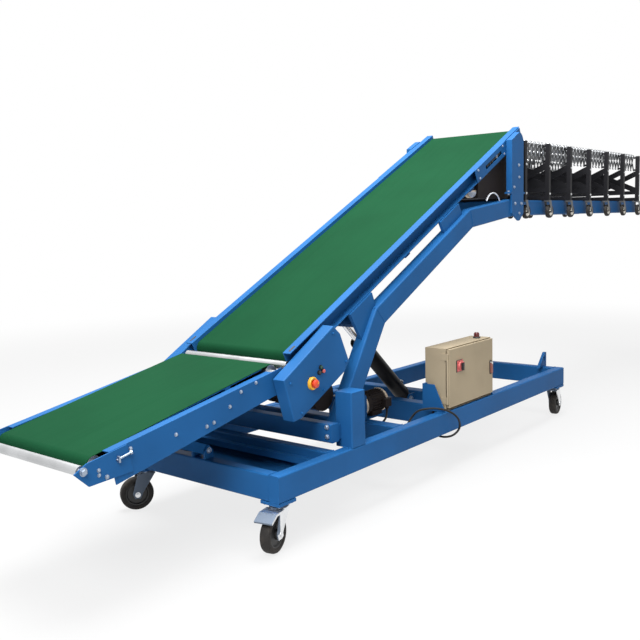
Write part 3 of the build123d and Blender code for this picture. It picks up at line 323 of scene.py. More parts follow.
RUST = Moulded("brown_handle", (0.24, 0.085, 0.065), 0.40, "button_red")
GREEN_CAP = Moulded("green_cap", (0.008, 0.050, 0.030), 0.32, "button_red")
INCLINE_GREEN = BeltCover("incline_cover", (0.0060, 0.046, 0.0190), 0.58, "belt_green", slope=math.radians(26.7))
INFEED_GREEN = BeltCover("infeed_cover", (0.0060, 0.046, 0.0190), 0.58, "belt_green", slope=math.radians(11.2))


# Mesh tools


class Piece:
    """A new mesh that operators build up, and that then rides on a body."""

    def __init__(self, name: str, *finishes: Finish) -> None:
        """Starts an empty mesh with its finishes in slot order."""
        self.name, self.finishes, self.bm = name, finishes, bmesh.new()

    def _since(self, before: int) -> list:
        """Vertices added after a count was taken."""
        self.bm.verts.ensure_lookup_table()
        return self.bm.verts[before:]

    def _own(self, verts: Iterable[bmesh.types.BMVert], finish: int) -> list:
        """Gives the faces of some vertices a finish, and turns them outwards."""
        faces = list({f for v in verts for f in v.link_faces})
        for face in faces:
            face.material_index = finish
        bmesh.ops.recalc_face_normals(self.bm, faces=faces)
        return faces

    def _soften(self, faces: list, edge: float, least: float = 0.6) -> None:
        """Bevels the sharp edges of some faces."""
        if edge > 0:
            sharp = [e for e in {e for f in faces for e in f.edges}
                     if e.is_manifold and e.calc_face_angle(0.0) > least]
            bmesh.ops.bevel(self.bm, geom=sharp, offset=edge, affect="EDGES", segments=2, profile=0.5,
                            material=-1, clamp_overlap=True)

    def copy_of(self, node: str, edge: float, finish: int = 0) -> "Piece":
        """Adds a frame node's own shape, merged and with softened edges.

        Args:
            node: name of the frame node.
            edge: width of the softened edges.
            finish: slot number of its finish.

        Returns:
            The piece itself.
        """
        before = len(self.bm.verts)
        self.bm.from_mesh(NODES[node].data)
        bmesh.ops.remove_doubles(self.bm, verts=self._since(before), dist=2e-6)
        verts = self._since(before)
        edges = list({e for v in verts for e in v.link_edges})
        bmesh.ops.dissolve_limit(self.bm, angle_limit=0.004, verts=verts, edges=edges, delimit=set())
        faces = list({f for v in self._since(before) for f in v.link_faces})
        for face in faces:
            face.material_index = finish
        self._soften(faces, edge)
        return self

    def paint(self, finish: int, where: Callable[[Vector], bool]) -> "Piece":
        """Gives a finish to the faces whose middle passes a test."""
        for face in self.bm.faces:
            if where(face.calc_center_median()):
                face.material_index = finish
        return self

    def box(self, low: Point, high: Point, finish: int = 0, edge: float = 0.001, turn: Matrix = None) -> "Piece":
        """Adds a softened block between two corners, turned about its middle where asked."""
        low, high = Vector(low), Vector(high)
        spread = Matrix.Diagonal(high - low).to_4x4()
        place = Matrix.Translation((low + high) / 2) @ (turn or Matrix()).to_4x4()
        made = bmesh.ops.create_cube(self.bm, size=1.0, matrix=place @ spread)
        self._soften(self._own(made["verts"], finish), edge)
        return self

    def bar(self, start: Point, end: Point, radius: float, finish: int = 0, sides: int = 16,
            tip: float = None) -> list:
        """Adds a bar between two places, with another radius at its end where asked.

        Args:
            start: middle of the first end.
            end: middle of the other end.
            radius: radius at the start.
            finish: slot number of its finish.
            sides: number of its sides.
            tip: radius at the end, the same as at the start if None.

        Returns:
            Its vertices.
        """
        start, end = Vector(start), Vector(end)
        along = end - start
        turn = along.to_track_quat("Z", "Y").to_matrix().to_4x4()
        made = bmesh.ops.create_cone(self.bm, cap_ends=True, segments=sides, radius1=radius,
                                     radius2=radius if tip is None else tip, depth=along.length,
                                     matrix=Matrix.Translation((start + end) / 2) @ turn)
        self._own(made["verts"], finish)
        return made["verts"]

    def spun(self, outline: Sequence[tuple], middle: Point, axis: Point, finish: int = 0, sides: int = 24) -> "Piece":
        """Adds an outline of radius and height pairs, spun about an axis."""
        before = len(self.bm.verts)
        middle, axis = Vector(middle), Vector(axis).normalized()
        turn = axis.to_track_quat("Z", "Y")
        verts = [self.bm.verts.new(middle + turn @ Vector((r, 0.0, h))) for r, h in outline]
        edges = [self.bm.edges.new(pair) for pair in zip(verts, verts[1:])]
        bmesh.ops.spin(self.bm, geom=verts + edges, cent=middle, axis=axis, angle=math.tau, steps=sides,
                       use_merge=True)
        bmesh.ops.remove_doubles(self.bm, verts=self._since(before), dist=1e-6)
        self._own(self._since(before), finish)
        return self

    def strap(self, start: Point, end: Point, width: float, thick: float, out: Point, finish: int = 0) -> "Piece":
        """Adds a flat strap with round ends between two pins, its thickness along out."""
        start, end, out = Vector(start), Vector(end), Vector(out).normalized()
        run = end - start
        along = run.normalized()
        turn = Matrix((along, out.cross(along), out)).transposed().to_4x4() @ Matrix.Rotation(math.pi / 12, 4, "Z")
        before = len(self.bm.verts)
        made = bmesh.ops.create_circle(self.bm, cap_ends=True, segments=12, radius=width / 2,
                                       matrix=Matrix.Translation(start) @ turn)
        for vert in made["verts"]:
            if (vert.co - start).dot(along) > 0:
                vert.co += run
        grown = bmesh.ops.extrude_face_region(self.bm, geom=[made["verts"][0].link_faces[0]])
        tops = [v for v in grown["geom"] if isinstance(v, bmesh.types.BMVert)]
        bmesh.ops.translate(self.bm, verts=tops, vec=out * thick)
        self._own(self._since(before), finish)
        return self

    def bolt(self, place: Point, out: Point, size: float, finish: int = 0) -> "Piece":
        """Adds a washer and a hexagon head with a chamfered crown on a face."""
        place, out = Vector(place), Vector(out).normalized()
        self.bar(place - out * 0.05 * size, place + out * 0.25 * size, 1.30 * size, finish, 14)
        self.bar(place + out * 0.25 * size, place + out * 0.85 * size, size, finish, 6)
        self.bar(place + out * 0.85 * size, place + out * 1.00 * size, size, finish, 6, tip=0.78 * size)
        return self

    def weld(self, start: Point, end: Point, size: float = 0.0038, finish: int = 0) -> "Piece":
        """Adds a rippled weld bead along a joint."""
        start, end = Vector(start), Vector(end)
        along = (end - start).normalized()
        before = len(self.bm.verts)
        self.bar(start, end, size, finish, 8)
        runs = [e for e in {e for v in self._since(before) for e in v.link_edges}
                if abs((e.verts[1].co - e.verts[0].co).normalized().dot(along)) > 0.9]
        steps = max(2, round((end - start).length / 0.008))
        bmesh.ops.subdivide_edges(self.bm, edges=runs, cuts=steps - 1)
        for vert in self._since(before):
            run = (vert.co - start).dot(along)
            ring = round(run * steps / (end - start).length)
            vert.co += (vert.co - start - along * run) * (0.16 if ring % 2 else -0.16)
        return self

    def arc(self, middle: Point, axis: Point, start: Point, angle: float, radius: float, finish: int = 0,
            steps: int = 18) -> "Piece":
        """Adds a round bar bent about an axis, from a place on it through an angle."""
        before = len(self.bm.verts)
        middle, axis, start = Vector(middle), Vector(axis).normalized(), Vector(start)
        heading = axis.cross(start - middle).to_track_quat("Z", "Y").to_matrix().to_4x4()
        made = bmesh.ops.create_circle(self.bm, cap_ends=True, segments=10, radius=radius,
                                       matrix=Matrix.Translation(start) @ heading)
        bmesh.ops.spin(self.bm, geom=list(made["verts"][0].link_faces), cent=middle, axis=axis, angle=angle,
                       steps=steps)
        self._own(self._since(before), finish)
        return self

    def _object(self, replaces: Sequence[str]) -> bpy.types.Object:
        """Makes the mesh object, with its hard edges marked and its finishes on it."""
        for edge in self.bm.edges:
            edge.smooth = edge.calc_face_angle(0.0) < 0.62
        mesh = bpy.data.meshes.new(self.name)
        self.bm.to_mesh(mesh)
        self.bm.free()
        for finish in self.finishes:
            mesh.materials.append(finish.material())
        for face in mesh.polygons:
            face.use_smooth = True
        piece = bpy.data.objects.new(self.name, mesh)
        bpy.context.scene.collection.objects.link(piece)
        even = piece.modifiers.new("even_normals", "WEIGHTED_NORMAL")
        even.weight, even.keep_sharp = 60, True
        if replaces:
            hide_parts(*replaces)
        return piece

    def settle(self, body: str, replaces: Sequence[str] = ()) -> bpy.types.Object:
        """Turns the mesh into a piece that rides on a body, in place of some frame nodes."""
        piece = self._object(replaces)
        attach(piece, body)
        LOG.info("%s: %d faces on %s", self.name, len(piece.data.polygons), body)
        return piece

    def stretch(self, first: str, second: str, start: Point, end: Point) -> bpy.types.Object:
        """Turns the mesh into a piece left at rest in place, logged with the two bodies it lies between."""
        piece = self._object(())
        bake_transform(piece)
        LOG.info("%s: %d faces from %s to %s", self.name, len(piece.data.polygons), first, second)
        return piece


def body_of_node(node: str) -> str:
    """The body that a frame node rides on."""
    return NODES[node]["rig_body"]


def finished(node: str, finish: Finish, edge: float) -> bpy.types.Object:
    """Gives a frame node its finish on a softened copy of its shape."""
    return Piece(f"{node}_finished", finish).copy_of(node, edge).settle(body_of_node(node), [node])


# Sub-assemblies


@dataclass
class Viewpoint:
    """Camera at the photograph's viewing angle."""

    place: Point = (-2.4425, -2.7546, 1.40)
    yaw: float = 39.36
    pitch: float = 6.83
    roll: float = -1.61
    lens: float = 45.675
    sensor: float = 36.0

    def build(self) -> None:
        """Makes the camera and hands it to the scene."""
        yaw, pitch, roll = map(math.radians, (self.yaw, self.pitch, self.roll))
        ahead = Vector((math.cos(yaw) * math.cos(pitch), math.sin(yaw) * math.cos(pitch), -math.sin(pitch)))
        level = Vector((math.sin(yaw), -math.cos(yaw), 0.0))
        up = level.cross(ahead)
        right = level * math.cos(roll) + up * math.sin(roll)
        top = -level * math.sin(roll) + up * math.cos(roll)
        data = bpy.data.cameras.new("photo_view")
        data.lens, data.sensor_width = self.lens, self.sensor
        camera = bpy.data.objects.new("photo_view", data)
        turn = Matrix((right, top, -ahead)).transposed().to_4x4()
        camera.matrix_world = Matrix.Translation(at(*self.place)) @ turn
        bpy.context.scene.collection.objects.link(camera)
        bpy.context.scene.camera = camera


@dataclass
class Studio:
    """Pale floor, white surround and soft light from above."""

    reach: float = 30.0
    fade_from: float = 4.0
    fade_to: float = 9.0
    surround: float = 0.30
    floor_tone: float = 0.45
    glow: float = 0.80

    def build(self) -> None:
        """Makes the floor, the surround and the lamps."""
        bpy.context.scene.view_settings.view_transform = "Standard"
        self._floor()
        self._surround()
        self._lamp("overhead", (-1.0, 0.3, 6.2), (-0.8, 0.2, 0.6), 3.8, 800.0)
        self._lamp("tail_fill", (-5.5, -2.0, 4.5), (-0.8, -0.2, 0.7), 2.6, 330.0)
        self._lamp("front_fill", (-3.0, -6.5, 2.4), (0.0, 0.0, 0.9), 3.0, 45.0)

    def _lamp(self, name: str, place: Point, target: Point, size: float, power: float) -> None:
        """Adds one square lamp that looks at a target."""
        data = bpy.data.lights.new(name, "AREA")
        data.energy, data.size = power, size
        lamp = bpy.data.objects.new(name, data)
        lamp.location = place
        lamp.rotation_euler = (Vector(target) - Vector(place)).to_track_quat("-Z", "Y").to_euler()
        bpy.context.scene.collection.objects.link(lamp)

    @staticmethod
    def _seen(graph: Graph) -> Value:
        """1 for rays that show the background: straight, mirrored or through glass."""
        path = graph.add("ShaderNodeLightPath", {}, {}, "Is Camera Ray")
        node = path.socket.node
        return path + Value(graph, node.outputs["Is Glossy Ray"]) + Value(graph, node.outputs["Is Transmission Ray"])

    def _floor(self) -> None:
        """Pale floor that keeps the shadow and fades to white far out."""
        bm = bmesh.new()
        bmesh.ops.create_grid(bm, x_segments=1, y_segments=1, size=self.reach)
        mesh = bpy.data.meshes.new("floor")
        bm.to_mesh(mesh)
        bm.free()
        floor = bpy.data.objects.new("floor", mesh)
        graph = Graph("pale_floor")
        graph.set(Base_Color=(self.floor_tone,) * 3, Roughness=0.9)
        place = graph.place()
        far = graph.add("ShaderNodeVectorMath", {"operation": "LENGTH"}, {0: place}, "Value")
        share = self._seen(graph) * (self.glow + (1.0 - self.glow) * far.over(self.fade_from, self.fade_to))
        glow = graph.add("ShaderNodeEmission", {}, {"Color": (1.0, 1.0, 1.0), "Strength": 1.0})
        matt = Value(graph, graph.shader.outputs[0])
        mixed = graph.add("ShaderNodeMixShader", {}, {0: share, 1: matt, 2: glow})
        graph.feed(graph.tree.nodes["Material Output"].inputs["Surface"], mixed)
        mesh.materials.append(graph.material)
        bpy.context.scene.collection.objects.link(floor)

    def _surround(self) -> None:
        """White surround: full white where it shows, softer as a light."""
        world = bpy.data.worlds.new("surround")
        world.use_nodes = True
        bpy.context.scene.world = world
        graph = Graph.__new__(Graph)
        graph.tree = world.node_tree
        seen = self._seen(graph)
        back = world.node_tree.nodes["Background"]
        graph.feed(back.inputs["Color"], (1.0, 1.0, 1.0))
        graph.feed(back.inputs["Strength"], self.surround + (1.0 - self.surround) * seen)


@dataclass
class ControlCable:
    """Cable from the control box round the near rail to the pump motor's terminal box."""

    radius: float = 0.006
    length: float = 1.147
    route: tuple = (
        (1.455, -0.372, 0.330), (1.455, -0.372, 0.286), (1.432, -0.380, 0.238), (1.400, -0.410, 0.202),
        (1.402, -0.464, 0.190), (1.434, -0.512, 0.198), (1.462, -0.542, 0.240), (1.440, -0.548, 0.296),
        (1.396, -0.538, 0.338), (1.352, -0.500, 0.366), (1.312, -0.440, 0.372), (1.280, -0.376, 0.358),
        (1.256, -0.345, 0.308), (1.215, -0.336, 0.258), (1.150, -0.330, 0.222), (1.085, -0.318, 0.236),
        (1.058, -0.296, 0.266), (1.062, -0.268, 0.292), (1.098, -0.252, 0.300), (1.142, -0.246, 0.306),
        (1.180, -0.243, 0.328), (1.180, -0.243, 0.373),
    )

    def build(self) -> None:
        data = bpy.data.curves.new("control_cable_line", "CURVE")
        data.dimensions, data.bevel_depth, data.bevel_resolution = "3D", self.radius, 3
        data.resolution_u, data.use_fill_caps = 6, True
        line = data.splines.new("NURBS")
        line.points.add(len(self.route) - 1)
        for point, place in zip(line.points, self.route):
            point.co = (*at(*place), 1.0)
        line.order_u, line.use_endpoint_u = 3, True
        data.materials.append(CABLE.material())
        cable = bpy.data.objects.new("control_cable_line", data)
        bpy.context.scene.collection.objects.link(cable)
        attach(cable, "base")
        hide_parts("control_cable")
        at(*self.route[0])
        LOG.info("control cable: %d points", len(self.route))


@dataclass
class BaseFrame:
    """Rails, cross beams, columns and fittings, with their weld seams and bolts."""

    length: float = 3.0
    inner: float = 0.440
    outer: float = 0.500
    under: float = 0.220
    top: float = 0.340
    beams: tuple = ((0.0, 0.06), (0.40, 0.46), (0.96, 1.04), (1.50, 1.58), (1.79, 1.87), (2.94, 3.0))
    column: tuple = (0.520, 0.630)
    tie_face: float = 0.440
    tie_bolts: tuple = (0.449, 0.403)
    pins: tuple = ((1.735, 0.0386, 0.300, 0.015), (0.030, 0.0456, 0.378, 0.011))
    castor_inset: float = 0.055

    def build(self) -> None:
        """Dresses the frame's own shapes and adds what joins them."""
        for node in ("base_side_rails", "base_cross_beams", "pivot_columns", "base_fittings"):
            finished(node, BLUE, 0.0014)
        self._seams()
        self._bolts()

    def _seams(self) -> None:
        """Weld beads where cross beams meet the rails and at the columns' feet."""
        seams = Piece("base_weld_seams", BLUE)
        for y in (-self.inner, self.inner):
            for low, high in self.beams:
                seams.weld(at(low + 0.006, y, self.top - 0.001), at(high - 0.006, y, self.top - 0.001))
                for x in (low, high):
                    if 0.0 < x < self.length:
                        seams.weld(at(x, y, self.under + 0.012), at(x, y, self.top - 0.010))
        for side in SIDES:
            for x in self.column:
                seams.weld(at(x, side * (self.inner + 0.004), self.top), at(x, side * (self.outer - 0.008), self.top))
        seams.settle("base")

    def _bolts(self) -> None:
        """Bolts of the tie and the castor plates, and the heads of the pivot pins."""
        bolts = Piece("base_bolts", BOLT)
        for side in SIDES:
            for z in self.tie_bolts:
                bolts.bolt(at(self.tie_face, side * 0.415, z), (-1, 0, 0), 0.010)
            for x, y, z, size in self.pins:
                bolts.bolt(at(x, side * y, z), (0, side, 0), size)
            for x in (self.castor_inset, self.length - self.castor_inset):
                for dx in (-0.041, 0.041):
                    for dy in (-0.041, 0.041):
                        place = at(x + dx, side * (self.outer - self.castor_inset) + dy, self.under - 0.015)
                        bolts.bolt(place, (0, 0, -1), 0.0065)
        bolts.settle("base")


@dataclass
class Castors:
    """Four swivel castors: spun wheels, forks with raceways and axle nuts."""

    places: tuple = (("tail_right", 0.055, -0.445, 193.0), ("tail_left", 0.055, 0.445, 150.0),
                     ("head_right", 2.945, -0.445, 8.0), ("head_left", 2.945, 0.445, -5.0))
    trail: float = 0.055
    axle_z: float = 0.0825
    cheek: float = 0.036
    crown_low: float = 0.1867
    tyre: tuple = ((0.0575, -0.0190), (0.0600, -0.0225), (0.0660, -0.0250), (0.0733, -0.0244), (0.0795, -0.0205),
                   (0.0825, -0.0125), (0.0825, 0.0125), (0.0795, 0.0205), (0.0733, 0.0244), (0.0660, 0.0250),
                   (0.0600, 0.0225), (0.0575, 0.0190))
    rim: tuple = ((0.0085, -0.0300), (0.0200, -0.0300), (0.0215, -0.0285), (0.0225, -0.0165), (0.0480, -0.0130),
                  (0.0530, -0.0190), (0.0585, -0.0200), (0.0585, 0.0200), (0.0530, 0.0190), (0.0480, 0.0130),
                  (0.0225, 0.0165), (0.0215, 0.0285), (0.0200, 0.0300), (0.0085, 0.0300), (0.0085, -0.0300))
    race: tuple = ((0.0355, -0.0010), (0.0410, 0.0010), (0.0420, 0.0040), (0.0395, 0.0075), (0.0370, 0.0085),
                   (0.0395, 0.0100), (0.0405, 0.0135), (0.0385, 0.0165), (0.0350, 0.0175))

    def build(self) -> None:
        """Builds each castor at its own trail angle."""
        for name, x, y, turn in self.places:
            angle = math.radians(turn)
            ahead = Vector((math.cos(angle), math.sin(angle), 0.0))
            across = Vector((-ahead.y, ahead.x, 0.0))
            hub = at(x, y, self.axle_z) + ahead * self.trail
            self._wheel(name, hub, across)
            self._fork(name, at(x, y, self.crown_low), hub, across)

    def _wheel(self, name: str, hub: Vector, across: Vector) -> None:
        """Rubber tyre bonded to a dished rim."""
        wheel = Piece(f"castor_wheel_{name}_spun", TYRE, NYLON)
        wheel.spun(self.tyre, hub, across, 0, 40).spun(self.rim, hub, across, 1, 40)
        wheel.settle(f"wheel_{name}", [f"castor_wheel_{name}"])

    def _fork(self, name: str, crown: Vector, hub: Vector, across: Vector) -> None:
        """Pressed fork with its swivel raceway and axle nuts."""
        fork = Piece(f"castor_fork_{name}_finished", GREY, ZINC).copy_of(f"castor_fork_{name}", 0.0016)
        fork.spun(self.race, crown, (0, 0, 1), 1, 32)
        for side in SIDES:
            fork.bolt(hub + across * side * self.cheek, across * side, 0.0105, 1)
        fork.settle(f"castor_{name}", [f"castor_fork_{name}"])


@dataclass
class Boom:
    """Bent tubes, cross members, platform and head posts, with their seams and bolts."""

    inner: float = 0.315
    outer: float = 0.385
    mitres: tuple = (((0.902, 0.962), (0.978, 0.877)), ((1.879, 1.4533), (1.911, 1.3463)),
                     ((2.4368, 1.518), (2.4432, 1.408)))
    post_face: float = 0.397
    post_bolts: tuple = ((2.494, 1.733, 0.0085), (2.500, 1.657, 0.0075), (2.428, 1.592, 0.0075), (2.530, 1.488, 0.0085),
                         (2.440, 1.488, 0.0085), (2.501, 1.425, 0.0075))
    joint_z: tuple = (1.550, 1.562)
    joint_x: tuple = (2.389, 2.579)

    def build(self) -> None:
        """Dresses the boom's own shapes and adds what joins them."""
        for node in ("boom_tubes", "boom_cross_members", "platform_beams", "head_posts"):
            finished(node, BLUE, 0.0014)
        self._seams()
        self._bolts()

    def _seams(self) -> None:
        """Weld beads round the tubes' mitres."""
        seams = Piece("boom_weld_seams", BLUE)
        for (x0, z0), (x1, z1) in self.mitres[:2]:
            for side in SIDES:
                for y in (self.inner, self.outer):
                    seams.weld(at(x0 + 0.08 * (x1 - x0), side * y, z0 + 0.08 * (z1 - z0)),
                               at(x1 - 0.08 * (x1 - x0), side * y, z1 - 0.08 * (z1 - z0)), 0.0026)
                for x, z in ((x0, z0), (x1, z1)):
                    seams.weld(at(x, side * (self.inner + 0.008), z), at(x, side * (self.outer - 0.008), z), 0.0026)
        seams.settle("boom")

    def _bolts(self) -> None:
        """Bolts through the head posts and their joint flanges."""
        bolts = Piece("post_bolts", BOLT)
        for side in SIDES:
            for x, z, size in self.post_bolts:
                bolts.bolt(at(x, side * self.post_face, z), (0, side, 0), size)
            for x in self.joint_x:
                bolts.bolt(at(x, side * 0.377, self.joint_z[1]), (0, 0, 1), 0.008)
                bolts.bolt(at(x, side * 0.377, self.joint_z[0]), (0, 0, -1), 0.008)
        bolts.settle("boom")


@dataclass
class BeltRuns:
    """Incline and infeed belts on their slider beds, with fasteners and tension gear."""

    incline_foot: tuple = (0.3159, 0.8228)
    incline_deg: float = 26.7
    infeed_foot: tuple = (-0.7654, 0.5882)
    infeed_deg: float = 11.2
    web: float = 0.310
    web_bolts: tuple = ((1.628, 1.402), (1.388, 1.286), (1.225, 1.193), (0.818, 0.974))
    cover_face: float = 0.355
    plate_face: float = 0.344
    plate_bolts: tuple = ((-0.631, 0.590), (-0.411, 0.594), (-0.248, 0.591), (-0.208, 0.599), (-0.114, 0.647),
                          (-0.046, 0.698), (0.047, 0.721))
    nose_face: float = 0.350
    nose_bolts: tuple = ((-0.842, 0.556, 0.0125), (-0.778, 0.546, 0.006), (-0.778, 0.528, 0.006),
                         (-0.745, 0.513, 0.007))

    def build(self) -> None:
        """Dresses both belts and adds their fasteners."""
        for node in ("incline_sides", "infeed_sides", "infeed_nose_plates"):
            finished(node, BLUE, 0.0011)
        for node in ("incline_bed", "infeed_bed", "infeed_prop"):
            finished(node, BLUE, 0.0008)
        finished("incline_belt", INCLINE_GREEN, 0.0006)
        finished("infeed_belt", INFEED_GREEN, 0.0006)
        for node in ("incline_rollers", "infeed_rollers"):
            finished(node, ROLLER, 0.001)
        self._incline_fasteners()
        self._infeed_fasteners()

    @staticmethod
    def _along(foot: tuple, degrees: float, s: float, y: float, n: float) -> Vector:
        """Place at a run along a belt and a height over its face."""
        c, d = math.cos(math.radians(degrees)), math.sin(math.radians(degrees))
        return at(foot[0] + s * c - n * d, y, foot[1] + s * d + n * c)

    def incline(self, s: float, y: float, n: float) -> Vector:
        """Place on the incline belt."""
        return self._along(self.incline_foot, self.incline_deg, s, y, n)

    def infeed(self, s: float, y: float, n: float) -> Vector:
        """Place on the infeed belt."""
        return self._along(self.infeed_foot, self.infeed_deg, s, y, n)

    def _incline_fasteners(self) -> None:
        """Web bolts, flange slots, cover screws and the tension screws in their windows."""
        gear = Piece("incline_fasteners", BOLT, NYLON)
        rise = self.incline(0, 0, 1) - self.incline(0, 0, 0)
        for side in SIDES:
            out = (0, side, 0)
            for x, z in self.web_bolts:
                gear.bolt(at(x, side * self.web, z), out, 0.0065)
            gear.strap(self.incline(-0.024, side * 0.333, 0.0158), self.incline(0.010, side * 0.333, 0.0158), 0.012,
                       0.0007, rise, 1)
            for s in (1.92, 2.28):
                for n in (-0.050, 0.002):
                    gear.bolt(self.incline(s, side * self.cover_face, n), out, 0.006)
            gear.bar(self.incline(2.04, side * 0.346, -0.028), self.incline(2.24, side * 0.346, -0.028), 0.005, 1)
            for s in (2.075, 2.105):
                gear.bar(self.incline(s, side * 0.346, -0.028), self.incline(s + 0.010, side * 0.346, -0.028), 0.010, 1, 6)
            gear.box(self.incline(2.19, side * 0.346, -0.028) - Vector((0.013, 0.004, 0.011)),
                     self.incline(2.19, side * 0.346, -0.028) + Vector((0.013, 0.004, 0.011)), 0, 0.0015)
        gear.settle("boom")

    def _infeed_fasteners(self) -> None:
        """Plate bolts, nose bolts and the nose tension screws."""
        gear = Piece("infeed_fasteners", BOLT)
        for side in SIDES:
            out = (0, side, 0)
            for x, z in self.plate_bolts:
                gear.bolt(at(x, side * self.plate_face, z), out, 0.0065)
            for x, z, size in self.nose_bolts:
                gear.bolt(at(x, side * self.nose_face, z), out, size)
            y = side * (self.plate_face + 0.010)
            gear.box(self.infeed(0.066, y, -0.035) - Vector((0.004, 0.010, 0.012)),
                     self.infeed(0.066, y, -0.035) + Vector((0.004, 0.010, 0.012)), 0, 0.001)
            gear.bar(self.infeed(0.058, y, -0.035), self.infeed(0.128, y, -0.035), 0.0042)
            gear.bar(self.infeed(0.120, y, -0.035), self.infeed(0.128, y, -0.035), 0.008, 0, 6)
        gear.settle("infeed")


@dataclass
class ChainCases:
    """Chain cases at the fold with their lid screws, stop button and push buttons."""

    face: float = 0.416
    screws: tuple = ((0.190, 0.700), (0.500, 0.885), (0.596, 0.738), (0.262, 0.552), (0.420, 0.632))
    stop: tuple = (0.337, 0.676)
    small: tuple = ((0.389, 0.717, 1), (0.401, 0.740, 2), (0.417, 0.721, 3))
    ring: tuple = ((0.0300, 0.0), (0.0300, 0.0095), (0.0270, 0.0140), (0.0205, 0.0140), (0.0190, 0.0110), (0.0, 0.0110))
    mushroom: tuple = ((0.0105, 0.0100), (0.0105, 0.0200), (0.0185, 0.0205), (0.0198, 0.0250), (0.0180, 0.0305),
                       (0.0110, 0.0335), (0.0, 0.0340))
    bezel: tuple = ((0.0110, 0.0), (0.0110, 0.0045), (0.0095, 0.0060), (0.0080, 0.0055))
    cap: tuple = ((0.0085, 0.0040), (0.0085, 0.0105), (0.0070, 0.0120), (0.0, 0.0120))

    def build(self) -> None:
        """Dresses the cases and sets the buttons on the near one."""
        finished("chain_cases", BLUE, 0.0014)
        screws = Piece("case_screws", BLUE)
        for side in SIDES:
            for x, z in self.screws:
                screws.bolt(at(x, side * self.face, z), (0, side, 0), 0.0065)
        screws.settle("boom")
        out = (0, -1, 0)
        stop = Piece("stop_button", YELLOW, RED)
        middle = at(self.stop[0], -self.face, self.stop[1])
        stop.spun(self.ring, middle, out, 0, 36).spun(self.mushroom, middle, out, 1, 36)
        stop.settle("boom", ["case_buttons"])
        small = Piece("push_buttons", BLACK, NYLON, GREEN_CAP, PINK)
        for x, z, cap in self.small:
            middle = at(x, -self.face, z)
            small.spun(self.bezel, middle, out, 0, 20).spun(self.cap, middle, out, cap, 20)
        small.settle("boom")


@dataclass
class BeltDrives:
    """Gear motor inside the near chain case and the closed drive under the head."""

    axis: tuple = (0.500, 0.582)
    motor: tuple = (-0.224, -0.014)
    radius: float = 0.062
    fins: int = 22
    bell: tuple = (2.108, -0.262, 1.564)
    bell_outline: tuple = ((0.0380, -0.001), (0.0380, 0.022), (0.0340, 0.034), (0.0240, 0.042), (0.0, 0.044))
    loop: tuple = (2.235, -0.350, 1.455)
    loop_radius: float = 0.100

    def build(self) -> None:
        """Dresses both drives, with cooling fins, a pale end bell and the switch's white lead."""
        drive = Piece("drive_motor_finished", MOTOR, CAST, WIRE).copy_of("drive_motor", 0.0014)
        x, z = self.axis
        for k in range(self.fins):
            turn = math.tau * k / self.fins
            ray = Vector((math.cos(turn), 0.0, math.sin(turn)))
            middle = at(x, (self.motor[0] + self.motor[1]) / 2 - 0.018, z) + ray * (self.radius + 0.002)
            spread = Vector((0.005, 0.075, 0.0015))
            drive.box(middle - spread, middle + spread, 0, 0.0008, Matrix.Rotation(-turn, 3, "Y"))
        drive.spun(((0.0, 0.0), (0.050, 0.0), (0.058, 0.004), (0.0655, 0.012), (0.0655, 0.040), (0.0615, 0.041)),
                   at(x, self.motor[1] + 0.002, z), (0, -1, 0), 0, 32)
        drive.spun(self.bell_outline, at(*self.bell), (-1, 0, 0), 1, 32)
        cx, y, cz = self.loop
        run, rise = self.loop_radius * math.cos(math.radians(30)), self.loop_radius * math.sin(math.radians(30))
        drive.arc(at(cx, y, cz), (0, 1, 0), at(cx - run, y, cz + rise), math.radians(120), 0.0042, 2)
        drive.settle("boom", ["drive_motor"])


@dataclass
class LiftCylinder:
    """Lift cylinder: enamelled barrel with gland nut and ports, chromed rod."""

    foot: tuple = (1.735, 0.300)
    head: tuple = (1.000, 0.951)
    radius: float = 0.045
    length: float = 0.640

    def build(self) -> None:
        """Dresses the barrel and the rod."""
        start, end = at(self.foot[0], 0.0, self.foot[1]), at(self.head[0], 0.0, self.head[1])
        along = (end - start).normalized()
        up = Vector((-along.z, 0.0, along.x)) * (1 if along.x > 0 else -1)
        top = start + along * self.length
        barrel = Piece("cylinder_barrel_finished", CYLINDER_BLACK, ZINC).copy_of("cylinder_barrel", 0.0016)
        barrel.spun(((0.0230, -0.050), (0.0462, -0.050), (0.0478, -0.047), (0.0478, -0.004), (0.0450, 0.0),
                     (0.0300, 0.0), (0.0275, 0.003), (0.0230, 0.003)), top, along, 0, 36)
        barrel.spun(((0.0440, 0.060), (0.0475, 0.062), (0.0475, 0.074), (0.0440, 0.076)), start, along, 0, 36)
        for run in (0.105, self.length - 0.085):
            port = start + along * run + up * (self.radius - 0.003)
            barrel.bar(port, port + up * 0.012, 0.013, 0, 16)
            barrel.bar(port + up * 0.012, port + up * 0.020, 0.011, 1, 6)
        barrel.settle("lift_barrel", ["cylinder_barrel"])
        finished("cylinder_rod", CHROME, 0.0012)
        pins = Piece("lift_pin_heads", ZINC)
        for side in SIDES:
            pins.bolt(at(self.head[0], side * 0.043, self.head[1]), (0, side, 0), 0.015)
        pins.settle("boom")


